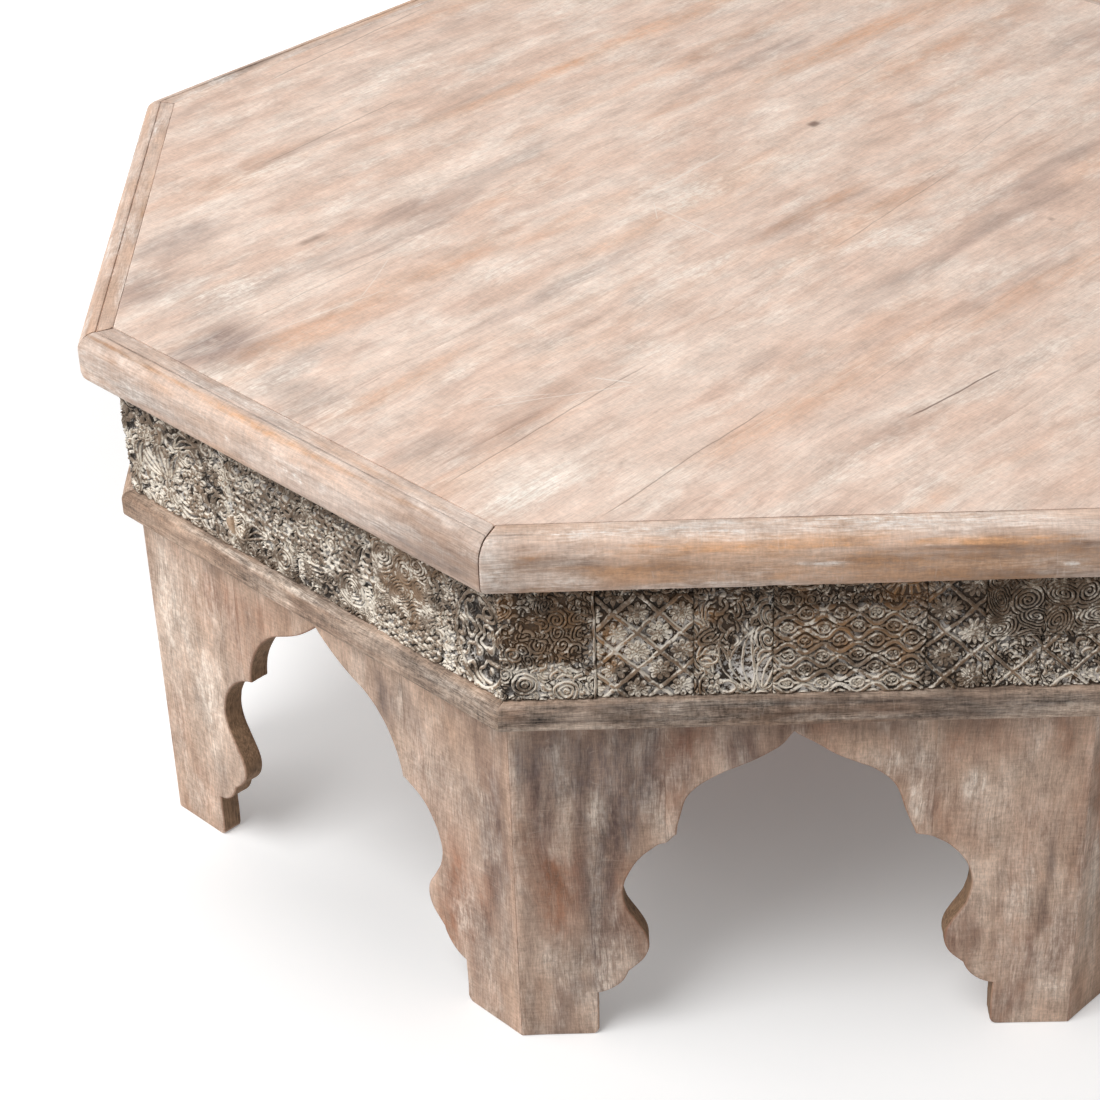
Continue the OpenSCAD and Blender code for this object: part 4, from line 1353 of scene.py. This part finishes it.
def make_block(side, places, design, seed):
    """A block with its carving as a height map on its face, and plain sides and back.
    Returns its points in the side's frame, faces, relief and marks."""
    x, out, z = side_frame(side, places)
    face_out = out.max()
    front = out > face_out - SAME_PLACE
    low_x, high_x = x[front].min(), x[front].max()
    low_z, high_z = z.min(), z.max()
    end = face_out * MITRE - PLAY
    wide, high = (high_x - low_x) / MM, (high_z - low_z) / MM
    columns, rows = int(wide / CARVE_STEP) + 2, int(high / CARVE_STEP) + 2
    across, up = np.meshgrid(np.linspace(0, 1, columns), np.linspace(0, 1, rows))
    local_x, local_z = across * wide, up * high
    relief = carved_relief(design, local_x, local_z, seed)
    rim = np.minimum(np.minimum(local_x, wide - local_x), np.minimum(local_z, high - local_z))
    ground = fractal(local_x / 4 + seed, local_z / 4, seed + 2)
    depth = CARVE_DEPTH * (1 - relief) * (0.75 + 0.5 * ground) + 0.5 * ground * relief
    depth = depth + RIM_DROP * smooth(rim, RIM_WIDE, 0)
    grid_out = face_out - depth * MM
    ring = np.concatenate([np.arange(columns), np.arange(1, rows) * columns + columns - 1,
                           (rows - 1) * columns + np.arange(columns - 2, -1, -1),
                           np.arange(rows - 2, 0, -1) * columns])
    share = np.concatenate([across.ravel(), across.ravel()[ring]])
    block_out = np.concatenate([grid_out.ravel(), np.full(len(ring), BLOCK_IN)])
    block_z = low_z + (high_z - low_z) * np.concatenate([up.ravel(), up.ravel()[ring]])
    mitred = block_out * MITRE - 2 * PLAY
    left, right = np.where(low_x < -end, -mitred, low_x), np.where(high_x > end, mitred, high_x)
    block_x = left + share * (right - left)
    faces = grid_faces(rows, columns, False)
    back = np.arange(len(ring)) + rows * columns
    faces += np.stack([back, np.roll(back, -1), np.roll(ring, -1), ring], -1).tolist()
    faces.append(back[::-1].tolist())
    relief = np.concatenate([relief.ravel(), np.full(len(ring), PLAIN_RELIEF)])
    marks = block_marks(side, design, block_x, block_z, seed)
    return np.stack([block_x, block_out, block_z], -1), faces, relief, marks


def make_carvings():
    """The blocks of all sides, from each side's left end."""
    for side in range(1, SIDES + 1):
        blocks = []
        for places in solids(f"carved_blocks_{side}"):
            x, _, z = side_frame(side, places)
            blocks.append((round(x.min(), 3), z.min(), places))
        blocks.sort(key=lambda block: block[:2])
        designs = SIDE_DESIGNS[side - 1].split()
        for n, (x, z, places) in enumerate(blocks):
            seed = 1000 + 40 * side + 3 * n
            flat, faces, relief, marks = make_block(side, places, designs[n], seed)
            make_piece(f"carving_{side}_{n + 1}", to_side(side, *flat.T), faces, carving, "carving",
                       f"carved_blocks_{side}", sharp=80, grain=grain_of(*flat.T, seed),
                       relief=relief, marks=marks)


for k in range(1, PLANKS + 1):
    make_plank(k)
make_bars()
make_panels()
make_carvings()


def give_material(material, nodes):
    """Gives nodes of the frame that keep their own meshes another material."""
    for node in nodes:
        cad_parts[node].data.materials[0] = material


for side in range(1, SIDES + 1):
    apron_wood = inner_wood(f"inner_wood_{side}", (0, 0, -SIDE_TURN * (side - 1)))
    give_material(apron_wood, [f"apron_board_{side}"])
give_material(inner_wood("inner_wood_upright", (0, math.pi / 2, 0)),
              [f"corner_block_{side}" for side in range(1, SIDES + 1)])
give_material(inner_wood("inner_wood_batten", (0, 0, -(PLANK_TURN + math.pi / 2))),
              [f"top_batten_{k}" for k in range(1, BATTENS + 1)])
give_material(screw_steel(), ["batten_screws"])


# Floor, lights and camera

FLOOR_HALF = 6.0
WORLD_LIGHT = 0.2
LAMP_AIM = Vector((0, 0, 0.25))


def shows_backdrop(tree):
    """1 on rays that show the backdrop itself: the camera's, mirrored ones and passed ones."""
    path = tree.nodes.new("ShaderNodeLightPath")
    total = path.outputs["Is Camera Ray"]
    for name in ("Is Glossy Ray", "Is Transmission Ray"):
        larger = tree.nodes.new("ShaderNodeMath")
        larger.operation = "MAXIMUM"
        tree.links.new(total, larger.inputs[0])
        tree.links.new(path.outputs[name], larger.inputs[1])
        total = larger.outputs[0]
    return total


def make_floor():
    """White floor that keeps the table's shadow. Where no shadow falls it meets the background.
    Where seen it glows with painted light: least under the table's middle, more towards its
    edges and far more beyond them, which lightens and shapes the shadow. Under the table its
    colour is a little warmer, a painted warm bounce light.
    """
    mesh = bpy.data.meshes.new("floor")
    ends = ((-1, -1), (1, -1), (1, 1), (-1, 1))
    mesh.from_pydata([(a * FLOOR_HALF, b * FLOOR_HALF, 0) for a, b in ends], [], [(0, 1, 2, 3)])
    floor = bpy.data.objects.new("floor", mesh)
    bpy.context.scene.collection.objects.link(floor)
    g = Graph("white_floor")
    seen = Wire(g, shows_backdrop(g.tree))
    x, y = g.split(g.place())[:2]
    far = g.math("SQRT", x * x + y * y)
    # A warmer colour under the table: painted warm light bounced from the wood
    colour = g.mix(far.steps(0.05, 0.4), (0.8, 0.68, 0.66, 1), (0.8, 0.8, 0.8, 1))
    # Painted light and shade under the left side: lighter inside its arches, darker towards its
    # front-left corner
    left = y.steps(-0.33, -0.12, -0.7, 1.0) * far.steps(0.44, 0.6, 1.0, 0.0)
    # Painted light: the glow grows from under the table's middle to its edges, and far more beyond
    # them
    painted_floor_light = far.steps(0.1, 0.5, 0.12, 0.24) + far.steps(0.6, 2.0, 0.0, 0.56)
    painted_floor_light = painted_floor_light + x.steps(-0.1, -0.32, 0.0, 0.22) * left
    white = g.finish(Base_Color=colour, Roughness=1.0, Specular_IOR_Level=0.0,
                     Emission_Color=(1, 1, 1, 1), Emission_Strength=seen * painted_floor_light)
    mesh.materials.append(white)


def make_world():
    """Soft even light, white where the camera sees it."""
    world = bpy.data.worlds.new("studio")
    bpy.context.scene.world = world
    world.use_nodes = True
    tree = world.node_tree
    seen = tree.nodes.new("ShaderNodeMapRange")
    seen.inputs["To Min"].default_value = WORLD_LIGHT
    seen.inputs["To Max"].default_value = 1.0
    tree.links.new(shows_backdrop(tree), seen.inputs["Value"])
    back = tree.nodes["Background"]
    back.inputs["Color"].default_value = (1, 1, 1, 1)
    tree.links.new(seen.outputs[0], back.inputs["Strength"])


def make_lamp(name, at, size, power):
    """A square lamp that shines at the table."""
    lamp = bpy.data.lights.new(name, "AREA")
    lamp.shape = "SQUARE"
    lamp.size = size
    lamp.energy = power
    holder = bpy.data.objects.new(name, lamp)
    holder.location = at
    holder.rotation_euler = (LAMP_AIM - Vector(at)).to_track_quat("-Z", "Y").to_euler()
    bpy.context.scene.collection.objects.link(holder)


def make_camera():
    """The camera that took the photograph."""
    camera = bpy.data.cameras.new("camera")
    camera.sensor_width = 36
    camera.lens = CAMERA_LENS
    holder = bpy.data.objects.new("camera", camera)
    forward = CAMERA_FORWARD.normalized()
    up = CAMERA_RIGHT.cross(forward).normalized()
    right = forward.cross(up)
    turn = Matrix((right, up, -forward)).transposed()
    holder.matrix_world = Matrix.Translation(CAMERA_AT) @ turn.to_4x4()
    bpy.context.scene.collection.objects.link(holder)
    bpy.context.scene.camera = holder


make_floor()
make_world()
make_lamp("key", (-2.2, -1.9, 4.4), 3.0, 215)
make_lamp("side", (-4.4, 0.5, 2.3), 2.4, 52)
make_camera()
bpy.context.scene.view_settings.view_transform = "Standard"
